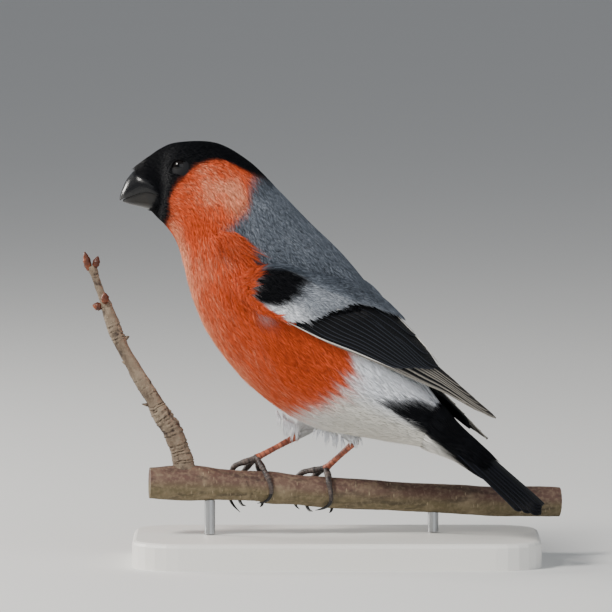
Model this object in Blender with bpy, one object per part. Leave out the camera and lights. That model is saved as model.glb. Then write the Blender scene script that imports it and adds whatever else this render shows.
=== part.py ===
"""Life-size male bullfinch gripping a short cut branch that a low stand holds.

All sizes below are millimetres, turned into metres where a mesh is made. The bird
faces -X. It is drawn straight, with its middle plane at Y = 0, and from the neck
back it is then turned a little about an upright axis, as it sits on its perch.
"""
import math
from dataclasses import dataclass

import bmesh
import bpy
import numpy as np

MM = 0.001
GAP = 0.3
CUT_OVERLAP = 0.02
WELD_DISTANCE = 1e-7
MERGE_DISTANCE = 2e-7

# Where the middle of the stand's underside lies in the drawing of the bird
STAND_MIDDLE = (2.0, -6.0)

# How far the body behind the neck is turned, and where the turn starts and ends
BODY_TURN = math.radians(15.0)
TURN_AXIS_X = -31.5
TURN_START = -151.0
TURN_SPAN = 46.0


@dataclass(frozen=True)
class Section:
    """One cross-section of the body, from back line to belly line."""

    back: tuple
    belly: tuple
    half_width: float
    middle: float
    squareness: float


# Sections from the base of the bill to the root of the tail
BODY = {
    "bill_base": Section((-57.6, 118.7), (-54.6, 105.9), 4.4, 0.50, 2.1),
    "lores": Section((-50.9, 123.6), (-51.6, 102.5), 6.5, 0.50, 2.1),
    "eye": Section((-45.0, 125.6), (-50.2, 101.2), 11.6, 0.48, 2.1),
    "crown": Section((-33.9, 125.3), (-48.2, 98.8), 13.4, 0.52, 2.1),
    "nape": Section((-24.1, 119.9), (-46.1, 95.2), 15.6, 0.52, 2.1),
    "neck": Section((-15.7, 111.9), (-43.7, 87.7), 18.6, 0.52, 2.1),
    "shoulder": Section((-6.0, 102.3), (-40.3, 77.1), 21.8, 0.52, 2.15),
    "breast": Section((5.1, 91.9), (-33.3, 64.2), 23.4, 0.52, 2.2),
    "belly": Section((15.0, 79.8), (-20.9, 50.7), 23.0, 0.52, 2.2),
    "flank": Section((23.4, 65.2), (-4.0, 40.4), 19.6, 0.52, 2.2),
    "vent": Section((31.6, 53.1), (15.4, 37.0), 14.2, 0.52, 2.1),
    "tail_root": Section((38.1, 45.0), (33.8, 34.0), 8.0, 0.50, 2.0),
}
HEAD_TO_NECK = 3.4
NECK_TO_TORSO = 5.4
TORSO_TO_TAIL = 10.35
BODY_END = 11.0
BODY_SIDES = 20
HEAD_STEPS = 11
NECK_STEPS = 7
TORSO_STEPS = 12
TAIL_ROOT_STEPS = 4
TORSO_ROOM_START = 7.35
TORSO_ROOM_STEPS = 9

EYE_MIDDLE = (-45.0, 8.7, 118.5)
EYE_RADIUS = 2.4
LID_RING_RADIUS = 2.75
LID_THICKNESS = 0.5
LID_DEPTH = 10.35
LID_SEGMENTS = 12
LID_SIDES = 5


@dataclass(frozen=True)
class BillSection:
    """One cross-section of a half of the bill."""

    ridge: tuple
    edge: tuple
    half_width: float


UPPER_BILL = (
    BillSection((-52.4, 114.8), (-49.9, 109.2), 6.7),
    BillSection((-55.6, 116.5), (-52.6, 110.4), 6.3),
    BillSection((-58.4, 116.9), (-55.0, 110.9), 5.7),
    BillSection((-59.9, 115.6), (-57.4, 110.3), 4.9),
    BillSection((-61.2, 113.8), (-59.5, 109.5), 4.0),
    BillSection((-62.2, 111.6), (-61.2, 108.9), 2.9),
    BillSection((-62.8, 109.8), (-62.2, 108.4), 1.7),
    BillSection((-63.1, 108.3), (-62.9, 107.9), 0.6),
)
LOWER_BILL = (
    BillSection((-51.0, 105.2), (-49.9, 108.6), 6.2),
    BillSection((-53.4, 105.2), (-52.6, 109.8), 5.8),
    BillSection((-54.9, 105.5), (-55.0, 110.2), 5.2),
    BillSection((-57.2, 106.1), (-57.3, 109.8), 4.3),
    BillSection((-59.4, 106.6), (-59.4, 109.0), 3.3),
    BillSection((-61.0, 107.1), (-60.9, 108.4), 2.1),
    BillSection((-62.1, 107.5), (-62.0, 107.9), 0.7),
)
BILL_STEPS = 11
BILL_ARCH_POINTS = 9
BILL_ARCH_POWER = 0.85
NOSTRIL = (-58.6, 4.1, 113.8)
NOSTRIL_RADIUS = 0.5


@dataclass(frozen=True)
class WingSection:
    """One line across the folded wing, from lower edge to upper edge."""

    lower: tuple
    upper: tuple
    bulge: float
    thickness: float


# Sections from the bend of the wing to the tips of the longest feathers
WING = (
    WingSection((-18.6, 24.4, 80.3), (-16.9, 23.8, 86.7), 0.4, 1.6),
    WingSection((-13.3, 25.0, 76.6), (-9.7, 23.0, 87.9), 0.8, 1.9),
    WingSection((-4.6, 24.7, 73.3), (-1.0, 20.8, 86.1), 1.1, 2.0),
    WingSection((4.3, 23.2, 68.9), (9.6, 14.4, 83.7), 1.8, 2.0),
    WingSection((14.1, 19.6, 64.6), (17.3, 6.0, 79.3), 2.2, 1.9),
    WingSection((23.4, 14.4, 59.9), (23.6, 2.9, 73.1), 1.8, 1.7),
    WingSection((31.4, 9.6, 55.6), (30.3, 2.2, 65.9), 1.0, 1.4),
    WingSection((38.4, 7.0, 52.2), (35.3, 2.0, 59.8), 0.5, 1.1),
    WingSection((46.0, 5.4, 47.8), (44.7, 2.8, 52.1), 0.2, 0.8),
    WingSection((53.4, 4.4, 43.9), (53.4, 3.4, 44.9), 0.0, 0.5),
)
RIGHT_WING_DROOP = math.radians(6.0)
SHOULDER_PIVOT = (-16.0, 84.0)
BED_DEPTH = 6.0
BED_MARGIN = 0.9

WING_CORE_STEPS = 16
WING_CORE_COLUMNS = 6


@dataclass(frozen=True)
class Tier:
    """Wing feathers of one row: roots and tips as (station, share across).

    Roots are spaced evenly from the first pair to the last one. Tips are spaced in
    the same way where two are given, and listed one by one where there are more.
    """

    roots: tuple
    tips: tuple
    count: int
    half_width: float
    root_lift: float
    tip_lift: float
    tilt: float


# Rows of feathers from the innermost to the outermost
WING_TIERS = {
    "primaries": Tier(
        ((2.2, 0.04), (3.4, 0.30)),
        ((7.9, 0.12), (8.75, 0.22), (9.0, 0.5), (8.6, 0.62), (8.15, 0.72), (7.7, 0.8)),
        6, 1.9, -0.3, 0.15, 0.5,
    ),
    "secondaries": Tier(
        ((2.0, 0.16), (3.6, 0.66)), ((5.5, 0.20), (6.55, 0.56)), 6, 2.3, -0.2, 0.55, 0.6
    ),
    "tertials": Tier(
        ((3.4, 0.62), (3.6, 0.86)), ((6.75, 0.74), (5.6, 0.95)), 3, 2.9, 0.0, 0.85, 0.7
    ),
    "greater_coverts": Tier(
        ((0.1, 0.22), (2.4, 0.98)),
        (
            (1.25, 0.10), (1.95, 0.10), (2.5, 0.20), (2.85, 0.34),
            (3.1, 0.50), (3.35, 0.66), (3.55, 0.82),
        ),
        7, 2.6, 0.1, 1.35, 0.7,
    ),
    "median_coverts": Tier(
        ((0.05, 0.40), (0.9, 0.92)),
        ((0.95, 0.24), (1.7, 0.34), (2.0, 0.62), (2.05, 0.88)),
        4, 2.4, 0.2, 1.7, 0.5,
    ),
}

# Fullness of a feather at shares of its length, for short and for long ones
FEATHER_THICKNESS = 0.7
VANE_SHARES = (0.0, 0.3, 0.65, 0.88, 1.0)
VANE_FULLNESS = (0.45, 0.95, 1.0, 0.75, 0.12)
LONG_FEATHER = 2.5
LONG_SHARES = (0.0, 0.16, 0.32, 0.48, 0.64, 0.80, 0.93, 1.0)
LONG_FULLNESS = (0.45, 0.80, 0.95, 1.0, 1.0, 0.95, 0.60, 0.10)
VANE_LEAST_WIDTH = 3.2
VANE_OVERHANG = 0.4
VANE_TIP_THICKNESS = 0.55

# The line of the tail's ridge, and how far its sides fall away from it
TAIL_RIDGE = (
    (30.0, 50.0),
    (36.6, 44.7),
    (43.1, 39.3),
    (54.9, 29.4),
    (62.7, 23.0),
    (67.0, 19.2),
    (71.3, 15.4),
)
TAIL_HALF_WIDTH = 9.0
TAIL_SIDE_DROP = 5.2
TAIL_THICKNESS = 1.0
TAIL_PAIRS = 6
TAIL_ROOT = 0.9
TAIL_SPREAD_AT_ROOT = 0.7
TAIL_FIRST_OFFSET = 1.3
TAIL_CORE = (0.8, 3.4, 4.5, 6.6)
TAIL_CORE_DEPTH = 1.0
TAIL_FEATHER_HALF_WIDTH = 2.1
TAIL_FULLNESS = (0.8, 0.95, 1.0, 0.85, 0.3)
TAIL_LAYER = 0.14
TAIL_SINK = 0.3
TAIL_TILT = 0.3
COVERT_THICKNESS = 1.6
COVERT_TIP_THICKNESS = 0.4

# How far each feather stops short of the ridge's end, from the middle outwards, and
# how far apart the feathers lie, on the left and on the right
TAIL_END_STEPS = {
    -1.0: (0.95, 0.92, 0.86, 0.78, 0.70, 0.62),
    1.0: (0.97, 1.02, 1.10, 1.20, 1.32, 1.44),
}
TAIL_OFFSET_STEPS = {-1.0: 0.95, 1.0: 0.95}

# Coverts: root and tip as (place along the ridge, distance across), half width, lifts
UPPER_TAIL_COVERTS = (
    ((0.6, 0.8), (2.55, 1.2), 2.4, -0.6, 0.35),
    ((0.4, 3.0), (2.2, 4.2), 2.4, -1.2, 0.3),
    ((0.2, 5.0), (1.7, 6.4), 2.2, -1.8, 0.2),
)
UNDER_TAIL_COVERTS = (
    ((0.9, 1.2), (2.75, 1.6), 2.6, -9.0, -2.0),
    ((0.7, 3.6), (2.3, 4.4), 2.4, -8.4, -2.2),
    ((0.4, 5.4), (1.8, 6.6), 2.0, -7.0, -1.8),
)

# Branch: middle line and radius, from the cut end at the left to the one at the right
BRANCH = (
    ((-54.0, -9.4, 23.9), 4.7),
    ((-42.0, -8.2, 23.6), 5.3),
    ((-33.0, -7.2, 23.1), 4.6),
    ((-22.5, -6.0, 22.6), 4.5),
    ((-17.5, -5.6, 21.9), 4.9),
    ((-9.0, -4.8, 21.0), 4.5),
    ((0.0, -3.9, 20.4), 4.6),
    ((12.0, -2.6, 19.6), 4.5),
    ((27.0, -1.0, 18.7), 4.3),
    ((42.0, 1.0, 17.7), 4.3),
    ((56.0, 3.4, 17.0), 4.5),
    ((69.0, 6.0, 16.6), 4.3),
)
BRANCH_SIDES = 12
BRANCH_STEPS = 23

# Side twig: middle line and radius, up to its end bud
TWIG = (
    ((-43.4, -8.2, 25.5), 3.6),
    ((-44.1, -8.2, 30.4), 3.0),
    ((-45.1, -8.1, 34.0), 2.7),
    ((-47.4, -8.1, 39.8), 2.9),
    ((-50.9, -8.0, 44.9), 2.8),
    ((-52.8, -7.8, 48.6), 2.3),
    ((-55.8, -7.4, 53.4), 2.2),
    ((-59.0, -7.0, 58.8), 2.0),
    ((-61.6, -6.7, 63.4), 1.9),
    ((-63.6, -6.5, 67.8), 2.1),
    ((-65.4, -6.3, 72.4), 2.0),
    ((-67.0, -6.1, 77.0), 1.8),
    ((-68.6, -5.9, 80.6), 1.3),
    ((-70.1, -5.7, 84.8), 1.2),
    ((-71.3, -5.6, 88.6), 1.4),
)
TWIG_SIDES = 8
TWIG_STEPS = 20
BUD_SIDES = 6
BUD_SHARES = (0.0, 0.25, 0.55, 0.82, 1.0)
BUD_FULLNESS = (0.55, 0.95, 1.0, 0.6, 0.12)

# Buds and short spurs: root, direction, length and radius
BUDS = (
    ((-72.1, -5.6, 87.3), (-0.24, -0.1, 1.0), 5.8, 1.2),
    ((-70.4, -5.8, 88.0), (0.28, -0.2, 1.0), 3.8, 1.1),
    ((-67.2, -7.2, 77.6), (-0.05, -0.5, 1.0), 3.6, 1.2),
    ((-68.2, -6.1, 76.2), (-1.0, -0.1, 0.25), 3.0, 1.25),
    ((-62.4, -6.6, 66.4), (1.0, -0.1, 0.5), 2.7, 0.8),
    ((-59.6, -7.0, 59.2), (-1.0, -0.2, 0.3), 2.9, 0.8),
)

BASE_SIZE = (122.0, 62.0, 8.0)
BASE_EDGE = 1.2
BASE_EDGE_ROUNDING = 0.35
BASE_CORNER_RADIUS = 14.0
BASE_CORNER_STEPS = 6
ROD_RADIUS = 1.6
ROD_SIDES = 16
ROD_PLACES = (-36.0, 31.0)


@dataclass(frozen=True)
class Finish:
    """Colour and gloss of one node's material."""

    colour: tuple
    roughness: float
    metallic: float = 0.0


BLACK_PLUMAGE = Finish((0.010, 0.011, 0.015), 0.42)
GREY_PLUMAGE = Finish((0.16, 0.18, 0.21), 0.80)
RED_PLUMAGE = Finish((0.56, 0.10, 0.035), 0.80)
WING_PLUMAGE = Finish((0.012, 0.012, 0.018), 0.45)
PALE_PLUMAGE = Finish((0.70, 0.69, 0.66), 0.85)
BILL_HORN = Finish((0.012, 0.011, 0.010), 0.25)
CLAW_HORN = Finish((0.015, 0.012, 0.010), 0.35)
EYE_GLOSS = Finish((0.006, 0.004, 0.003), 0.05)
LEG_SKIN = Finish((0.13, 0.055, 0.035), 0.55)
BARK = Finish((0.11, 0.065, 0.045), 0.75)
TWIG_BARK = Finish((0.24, 0.19, 0.13), 0.80)
BASE_PAINT = Finish((0.75, 0.73, 0.69), 0.40)
ROD_STEEL = Finish((0.60, 0.60, 0.62), 0.30, 1.0)


def clear_scene():
    """Remove every object, mesh and material that the file starts with."""
    for thing in list(bpy.data.objects):
        bpy.data.objects.remove(thing, do_unlink=True)
    for mesh in list(bpy.data.meshes):
        bpy.data.meshes.remove(mesh)
    for material in list(bpy.data.materials):
        bpy.data.materials.remove(material)


def material(name, finish):
    """Return a Principled material with one colour, roughness and metallic value."""
    made = bpy.data.materials.new(name)
    made.use_nodes = True
    shader = made.node_tree.nodes["Principled BSDF"]
    shader.inputs["Base Color"].default_value = (*finish.colour, 1.0)
    shader.inputs["Roughness"].default_value = finish.roughness
    shader.inputs["Metallic"].default_value = finish.metallic
    return made


def curve_through(rows, where):
    """Smooth curve through rows of numbers, read at fractional row indices."""
    rows = np.asarray(rows, float)
    where = np.asarray(where, float)
    last = len(rows) - 1
    where = np.clip(where, 0.0, last)
    start = np.minimum(where.astype(int), last - 1)
    part = (where - start)[..., None]
    padded = np.vstack([2 * rows[0] - rows[1], rows, 2 * rows[-1] - rows[-2]])
    a, b, c, d = (padded[start + k] for k in range(4))
    bend = (2 * a - 5 * b + 4 * c - d) * part ** 2
    twist = (3 * b - 3 * c + d - a) * part ** 3
    return 0.5 * (2 * b + (c - a) * part + bend + twist)


def unit(vectors):
    """Scale vectors to length one."""
    return vectors / np.linalg.norm(vectors, axis=-1, keepdims=True)


def turn_body(points):
    """Turn the part behind the neck about the upright turning axis."""
    x, y, z = points[..., 0], points[..., 1], points[..., 2]
    share = np.clip((x - z - TURN_START) / TURN_SPAN, 0.0, 1.0)
    angle = BODY_TURN * share ** 2 * (3.0 - 2.0 * share)
    reach = x - TURN_AXIS_X
    turned_x = TURN_AXIS_X + reach * np.cos(angle) + y * np.sin(angle)
    turned_y = y * np.cos(angle) - reach * np.sin(angle)
    return np.stack([turned_x, turned_y, z], -1)


def mesh_object(name, points, faces, finish=None):
    """Make a closed mesh object from points in millimetres, faces pointing out."""
    points = np.asarray(points, float) - (*STAND_MIDDLE, 0.0)
    mesh = bpy.data.meshes.new(name)
    mesh.from_pydata((points * MM).tolist(), [], faces)
    work = bmesh.new()
    work.from_mesh(mesh)
    bmesh.ops.remove_doubles(work, verts=work.verts, dist=WELD_DISTANCE)
    bmesh.ops.recalc_face_normals(work, faces=work.faces)
    if work.calc_volume(signed=True) < 0.0:
        bmesh.ops.reverse_faces(work, faces=work.faces)
    work.to_mesh(mesh)
    work.free()
    made = bpy.data.objects.new(name, mesh)
    bpy.context.scene.collection.objects.link(made)
    if finish is not None:
        mesh.materials.append(material(name, finish))
    return made


def ring_solid(rings):
    """Join rings of equal length into a closed skin with a fan at both ends."""
    rings = np.asarray(rings, float)
    count, sides = rings.shape[:2]
    points = rings.reshape(-1, 3).tolist()
    faces = []
    for row in range(count - 1):
        for side in range(sides):
            after = (side + 1) % sides
            low, high = row * sides, (row + 1) * sides
            faces.append((low + side, high + side, low + after))
            faces.append((low + after, high + side, high + after))
    for row in (0, count - 1):
        middle = len(points)
        points.append(rings[row].mean(axis=0).tolist())
        for side in range(sides):
            after = (side + 1) % sides
            faces.append((middle, row * sides + side, row * sides + after))
    return points, faces


def frames_along(path):
    """Return two unit vectors across the path at each of its points."""
    along = unit(np.gradient(path, axis=0))
    across = []
    guide = np.cross(along[0], (0.0, 1.0, 0.0))
    if np.linalg.norm(guide) < 0.2:
        guide = np.cross(along[0], (1.0, 0.0, 0.0))
    for direction in along:
        guide = guide - direction * np.dot(guide, direction)
        guide = guide / np.linalg.norm(guide)
        across.append(guide)
    across = np.array(across)
    return across, np.cross(along, across)


def tube(path, radii, sides):
    """Closed tube of round sections along a path."""
    path = np.asarray(path, float)
    radii = np.asarray(radii, float)[:, None, None]
    across, beside = frames_along(path)
    turns = np.linspace(0.0, 2.0 * math.pi, sides, endpoint=False)
    sideways = across[:, None, :] * np.cos(turns)[None, :, None]
    upwards = beside[:, None, :] * np.sin(turns)[None, :, None]
    return ring_solid(path[:, None, :] + (sideways + upwards) * radii)


def smooth_tube(rows, steps, sides, grow=0.0):
    """Closed tube along a smooth curve through ((x, y, z), radius) rows."""
    table = [(*middle, radius) for middle, radius in rows]
    read = curve_through(table, np.linspace(0.0, len(table) - 1.0, steps))
    return tube(read[:, :3], read[:, 3] + grow, sides)


def ball(middle, radius, segments=12, rings=7):
    """Closed ball of latitude rings."""
    slopes = np.linspace(0.0, math.pi, rings + 1)[1:-1]
    turns = np.linspace(0.0, 2.0 * math.pi, segments, endpoint=False)
    x = np.sin(slopes)[:, None] * np.cos(turns)
    y = -np.cos(slopes)[:, None] * np.ones_like(turns)
    z = np.sin(slopes)[:, None] * np.sin(turns)
    points, faces = ring_solid(np.stack([x, y, z], -1))
    points = np.array(points)
    points[-2:] = ((0.0, -1.0, 0.0), (0.0, 1.0, 0.0))
    return points * radius + np.asarray(middle), faces


def ring_lid(middle, radius, thickness):
    """Closed ring round an eye, lying in the XZ plane."""
    turns = np.linspace(0.0, 2.0 * math.pi, LID_SEGMENTS, endpoint=False)
    around = np.linspace(0.0, 2.0 * math.pi, LID_SIDES, endpoint=False)
    reach = radius + thickness * np.cos(around)[None, :]
    x = reach * np.cos(turns)[:, None]
    z = reach * np.sin(turns)[:, None]
    y = thickness * np.sin(around)[None, :] * np.ones_like(x)
    points = (np.stack([x, y, z], -1) + np.asarray(middle)).reshape(-1, 3)
    faces = []
    for row in range(LID_SEGMENTS):
        below = (row + 1) % LID_SEGMENTS
        for side in range(LID_SIDES):
            after = (side + 1) % LID_SIDES
            a, b = row * LID_SIDES + side, row * LID_SIDES + after
            c, d = below * LID_SIDES + side, below * LID_SIDES + after
            faces.extend(((a, b, c), (b, d, c)))
    return points, faces


def combine(target, others, operation, solver="EXACT"):
    """Apply one Boolean between an object and a collection of closed objects."""
    if not others:
        return target
    group = bpy.data.collections.new(target.name + "_tools")
    for other in others:
        group.objects.link(other)
    step = target.modifiers.new("join", "BOOLEAN")
    step.operation = operation
    step.solver = solver
    step.operand_type = "COLLECTION"
    step.collection = group
    bpy.context.view_layer.update()
    seen = target.evaluated_get(bpy.context.evaluated_depsgraph_get())
    result = bpy.data.meshes.new_from_object(seen)
    target.modifiers.clear()
    kept = target.data.materials[0] if target.data.materials else None
    target.data = result
    if kept is not None:
        result.materials.clear()
        result.materials.append(kept)
    for other in others:
        bpy.data.objects.remove(other, do_unlink=True)
    bpy.data.collections.remove(group)
    keep_largest(target)
    return target


def keep_largest(target):
    """Clean a cut mesh and keep its largest closed surface alone."""
    work = bmesh.new()
    work.from_mesh(target.data)
    bmesh.ops.triangulate(work, faces=work.faces)
    bmesh.ops.remove_doubles(work, verts=work.verts, dist=MERGE_DISTANCE)
    bmesh.ops.dissolve_degenerate(work, edges=work.edges, dist=MERGE_DISTANCE)
    bmesh.ops.triangulate(work, faces=work.faces)
    left = set(work.verts)
    shells = []
    while left:
        stack = [left.pop()]
        shell = set(stack)
        while stack:
            for edge in stack.pop().link_edges:
                for vert in edge.verts:
                    if vert in left:
                        left.discard(vert)
                        shell.add(vert)
                        stack.append(vert)
        shells.append(shell)
    shells.sort(key=span, reverse=True)
    for shell in shells[1:]:
        bmesh.ops.delete(work, geom=list(shell), context="VERTS")
    work.to_mesh(target.data)
    work.free()


def span(shell):
    """Return the length of the diagonal of a shell's box."""
    places = np.array([tuple(vert.co) for vert in shell])
    return float(np.linalg.norm(places.max(axis=0) - places.min(axis=0)))


def shade(target, angle=50.0):
    """Smooth shading, with edges kept sharp past an angle."""
    target.data.shade_smooth()
    target.data.set_sharp_from_angle(angle=math.radians(angle))


def body_rows():
    """Return the body's sections as one table of numbers."""
    return [
        (*cut.back, *cut.belly, cut.half_width, cut.middle, cut.squareness)
        for cut in BODY.values()
    ]


def body_ring(place, shift=0.0, grow=0.0):
    """Points round the body at a fractional section, moved along its normal."""
    row = curve_through(body_rows(), np.array([place]))[0]
    back, belly = row[0:2], row[2:4]
    half_width, middle, squareness = row[4:7]
    heart = back + (belly - back) * middle
    rise = back - belly
    rise = rise / np.linalg.norm(rise)
    turns = np.linspace(0.0, 2.0 * math.pi, BODY_SIDES, endpoint=False)
    power = 2.0 / squareness
    up = np.sign(np.cos(turns)) * np.abs(np.cos(turns)) ** power
    out = np.sign(np.sin(turns)) * np.abs(np.sin(turns)) ** power
    over = np.linalg.norm(back - heart) + grow
    under = np.linalg.norm(belly - heart) + grow
    reach = np.where(up > 0.0, over, under) * up
    x = heart[0] + rise[0] * reach + rise[1] * shift
    z = heart[1] + rise[1] * reach - rise[0] * shift
    return np.stack([x, (half_width + grow) * out, z], -1)


def body_piece(name, start, end, steps, finish):
    """One length of the body, parted from its neighbours by half a gap a side."""
    places = np.linspace(start, end, steps)
    shifts = np.zeros(steps)
    shifts[0] = 0.5 * GAP if start > 0.0 else 0.0
    shifts[-1] = -0.5 * GAP if end < BODY_END else 0.0
    rings = np.array([body_ring(a, b) for a, b in zip(places, shifts)])
    return mesh_object(name, *ring_solid(turn_body(rings)), finish)


def torso_room():
    """Cutter a gap larger than the torso all round, up to the root of the tail."""
    places = np.linspace(TORSO_ROOM_START, TORSO_TO_TAIL, TORSO_ROOM_STEPS)
    shifts = np.zeros(len(places))
    shifts[-1] = 0.5 * GAP - CUT_OVERLAP
    rings = np.array([body_ring(a, b, GAP) for a, b in zip(places, shifts)])
    return mesh_object("room", *ring_solid(turn_body(rings)))


def bill_half(rows, grow=0.0):
    """Half of the bill: arched sections, flat along the line of the mouth."""
    table = [(*cut.ridge, *cut.edge, cut.half_width) for cut in rows]
    read = curve_through(table, np.linspace(0.0, len(table) - 1.0, BILL_STEPS))
    arch = np.linspace(0.0, math.pi, BILL_ARCH_POINTS)
    rings = []
    for ridge_x, ridge_z, edge_x, edge_z, half_width in read:
        ridge = np.array((ridge_x, ridge_z))
        edge = np.array((edge_x, edge_z))
        away = (ridge - edge) / np.linalg.norm(ridge - edge)
        ridge = ridge + away * grow
        edge = edge - away * grow
        rise = np.sin(arch) ** BILL_ARCH_POWER
        side = np.cos(arch) * (half_width + grow)
        line = edge[None, :] + (ridge - edge)[None, :] * rise[:, None]
        rings.append(np.stack([line[:, 0], side, line[:, 1]], -1))
    return ring_solid(rings)


def mirrored(points):
    """Mirror points across the bird's middle plane."""
    points = np.array(points, float)
    points[..., 1] *= -1.0
    return points


def make_head():
    """Head with lids, sockets for the eyes and a seat for the bill."""
    head = body_piece("head", 0.0, HEAD_TO_NECK, HEAD_STEPS, BLACK_PLUMAGE)
    x, y, z = EYE_MIDDLE
    rings = []
    for side in (-1.0, 1.0):
        lid = ring_lid((x, side * LID_DEPTH, z), LID_RING_RADIUS, LID_THICKNESS)
        rings.append(mesh_object("lid", *lid))
    combine(head, rings, "UNION")
    seats = [
        mesh_object("seat", *ball((x, side * y, z), EYE_RADIUS + GAP)) for side in (-1.0, 1.0)
    ]
    seats.append(mesh_object("seat", *bill_half(UPPER_BILL, GAP)))
    seats.append(mesh_object("seat", *bill_half(LOWER_BILL, GAP)))
    combine(head, seats, "DIFFERENCE")
    shade(head)


def make_eyes():
    """Two glossy eyeballs in their sockets."""
    x, y, z = EYE_MIDDLE
    for name, side in (("eye_left", -1.0), ("eye_right", 1.0)):
        eye = mesh_object(name, *ball((x, side * y, z), EYE_RADIUS), EYE_GLOSS)
        shade(eye)


def make_bill():
    """Upper and lower halves of the bill, with a nostril on each side."""
    upper = mesh_object("bill_upper", *bill_half(UPPER_BILL), BILL_HORN)
    x, y, z = NOSTRIL
    pits = [
        mesh_object("pit", *ball((x, side * y, z), NOSTRIL_RADIUS, 6, 5)) for side in (-1.0, 1.0)
    ]
    combine(upper, pits, "DIFFERENCE")
    shade(upper)
    lower = mesh_object("bill_lower", *bill_half(LOWER_BILL), BILL_HORN)
    shade(lower)


def wing_table():
    """Return the wing's sections as one table of numbers."""
    return [(*cut.lower, *cut.upper, cut.bulge, cut.thickness) for cut in WING]


def wing_points(along, across, lift, inner=False, spread=0.0):
    """Points on the wing at station and share across, lifted off its face.

    With inner set, the lift is measured from the wing's inner face. A spread moves
    the lower and upper edges outwards.
    """
    along, across, lift = np.broadcast_arrays(
        np.asarray(along, float), np.asarray(across, float), np.asarray(lift, float)
    )
    table = wing_table()
    row = curve_through(table, along)
    ahead = curve_through(table, along + 0.05) - curve_through(table, along - 0.05)
    lower, upper = row[..., 0:3], row[..., 3:6]
    chord = unit(upper - lower)
    lower = lower - chord * spread
    upper = upper + chord * spread
    share = across[..., None]
    place = lower + (upper - lower) * share
    onward = ahead[..., 0:3] * (1.0 - share) + ahead[..., 3:6] * share
    out = unit(np.cross(onward, chord))
    out = out * np.where(out[..., 1:2] < 0.0, -1.0, 1.0)
    rise = row[..., 6:7] * 4.0 * share * (1.0 - share)
    depth = row[..., 7:8] if inner else 0.0
    return place + out * (rise + lift[..., None] - depth)


def set_wing(points, side):
    """Place left or right wing points; the right wing hangs a little lower."""
    points = np.array(points, float)
    if side < 0.0:
        points = mirrored(points)
    else:
        angle = RIGHT_WING_DROOP
        x = points[..., 0] - SHOULDER_PIVOT[0]
        z = points[..., 2] - SHOULDER_PIVOT[1]
        points[..., 0] = SHOULDER_PIVOT[0] + x * math.cos(angle) + z * math.sin(angle)
        points[..., 2] = SHOULDER_PIVOT[1] + z * math.cos(angle) - x * math.sin(angle)
    return turn_body(points)


def wing_slab(side, outer_lift, inner_lift, spread):
    """Closed slab between two faces of the folded wing."""
    stations = np.linspace(0.0, len(WING) - 1.0, WING_CORE_STEPS)
    shares = np.linspace(0.0, 1.0, WING_CORE_COLUMNS)
    outer = wing_points(stations[:, None], shares[None, :], outer_lift, False, spread)
    inner = wing_points(stations[:, None], shares[None, ::-1], inner_lift, True, spread)
    rings = set_wing(np.concatenate([outer, inner], axis=1), side)
    return ring_solid(rings)


def clear_of_wings(target):
    """Cut the space of each wing, with a gap round it, out of an object."""
    for side in (-1.0, 1.0):
        bed = mesh_object("bed", *wing_slab(side, BED_DEPTH, -GAP, BED_MARGIN))
        combine(target, [bed], "DIFFERENCE")


def vane(lines, place):
    """Closed vane: rows of (along, low edge, high edge, low lift, high lift, thickness).

    Each row gives four points, on the low edge, over the shaft, on the high edge and
    under the shaft, so that both faces are split into triangles alike.
    """
    along, low, high, low_lift, high_lift, thick = np.array(lines, float).T
    middle = 0.5 * (low + high)
    shaft_lift = 0.5 * (low_lift + high_lift)
    rings = np.stack(
        [
            place(along, low, low_lift),
            place(along, middle, shaft_lift + 0.5 * thick),
            place(along, high, high_lift),
            place(along, middle, shaft_lift - 0.5 * thick),
        ],
        axis=1,
    )
    return ring_solid(rings)


def wing_width(along):
    """Width of the folded wing at a station, in millimetres."""
    row = curve_through(wing_table(), along)
    return np.linalg.norm(row[..., 3:6] - row[..., 0:3], axis=-1)


def thickness(fullness, at_tip):
    """Thickness of a feather as a share of its greatest one."""
    return at_tip + (1.0 - at_tip) * fullness


def wing_feather(row, root, tip, side):
    """Points and faces of one wing feather, rounded at its tip."""
    long = tip[0] - root[0] > LONG_FEATHER
    shares = np.array(LONG_SHARES if long else VANE_SHARES)
    fullness = np.array(LONG_FULLNESS if long else VANE_FULLNESS)
    along = root[0] + (tip[0] - root[0]) * shares
    middle = root[1] + (tip[1] - root[1]) * shares
    width = np.maximum(wing_width(along), VANE_LEAST_WIDTH)
    half = row.half_width * fullness / width
    low = np.maximum(middle - half, -VANE_OVERHANG / width)
    high = np.minimum(middle + half, 1.0 + VANE_OVERHANG / width)
    lift = row.root_lift + (row.tip_lift - row.root_lift) * shares
    tilt = 0.5 * row.tilt * fullness
    thick = FEATHER_THICKNESS * thickness(fullness, VANE_TIP_THICKNESS)
    lines = np.stack([along, low, high, lift + tilt, lift - tilt, thick], 1)
    return vane(lines, lambda a, b, c: set_wing(wing_points(a, b, c), side))


def spaced(ends, count):
    """Evenly spaced pairs from a first pair to a last one, or a full list as it is."""
    return np.linspace(*ends, count) if len(ends) == 2 else np.array(ends)


def wing_feathers(side):
    """All the feathers of a folded wing, from the innermost row to the outermost."""
    made = []
    for row in WING_TIERS.values():
        places = zip(spaced(row.roots, row.count), spaced(row.tips, row.count))
        made.extend(wing_feather(row, root, tip, side) for root, tip in places)
    return made


def make_wings():
    """The two folded wings: a thin core with tiers of overlapping feathers."""
    for name, side in (("wing_left", -1.0), ("wing_right", 1.0)):
        wing = mesh_object(name, *wing_slab(side, 0.0, 0.0, 0.0), WING_PLUMAGE)
        feathers = [mesh_object("feather", *shape) for shape in wing_feathers(side)]
        combine(wing, feathers, "UNION")
        shade(wing, 30.0)


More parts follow.
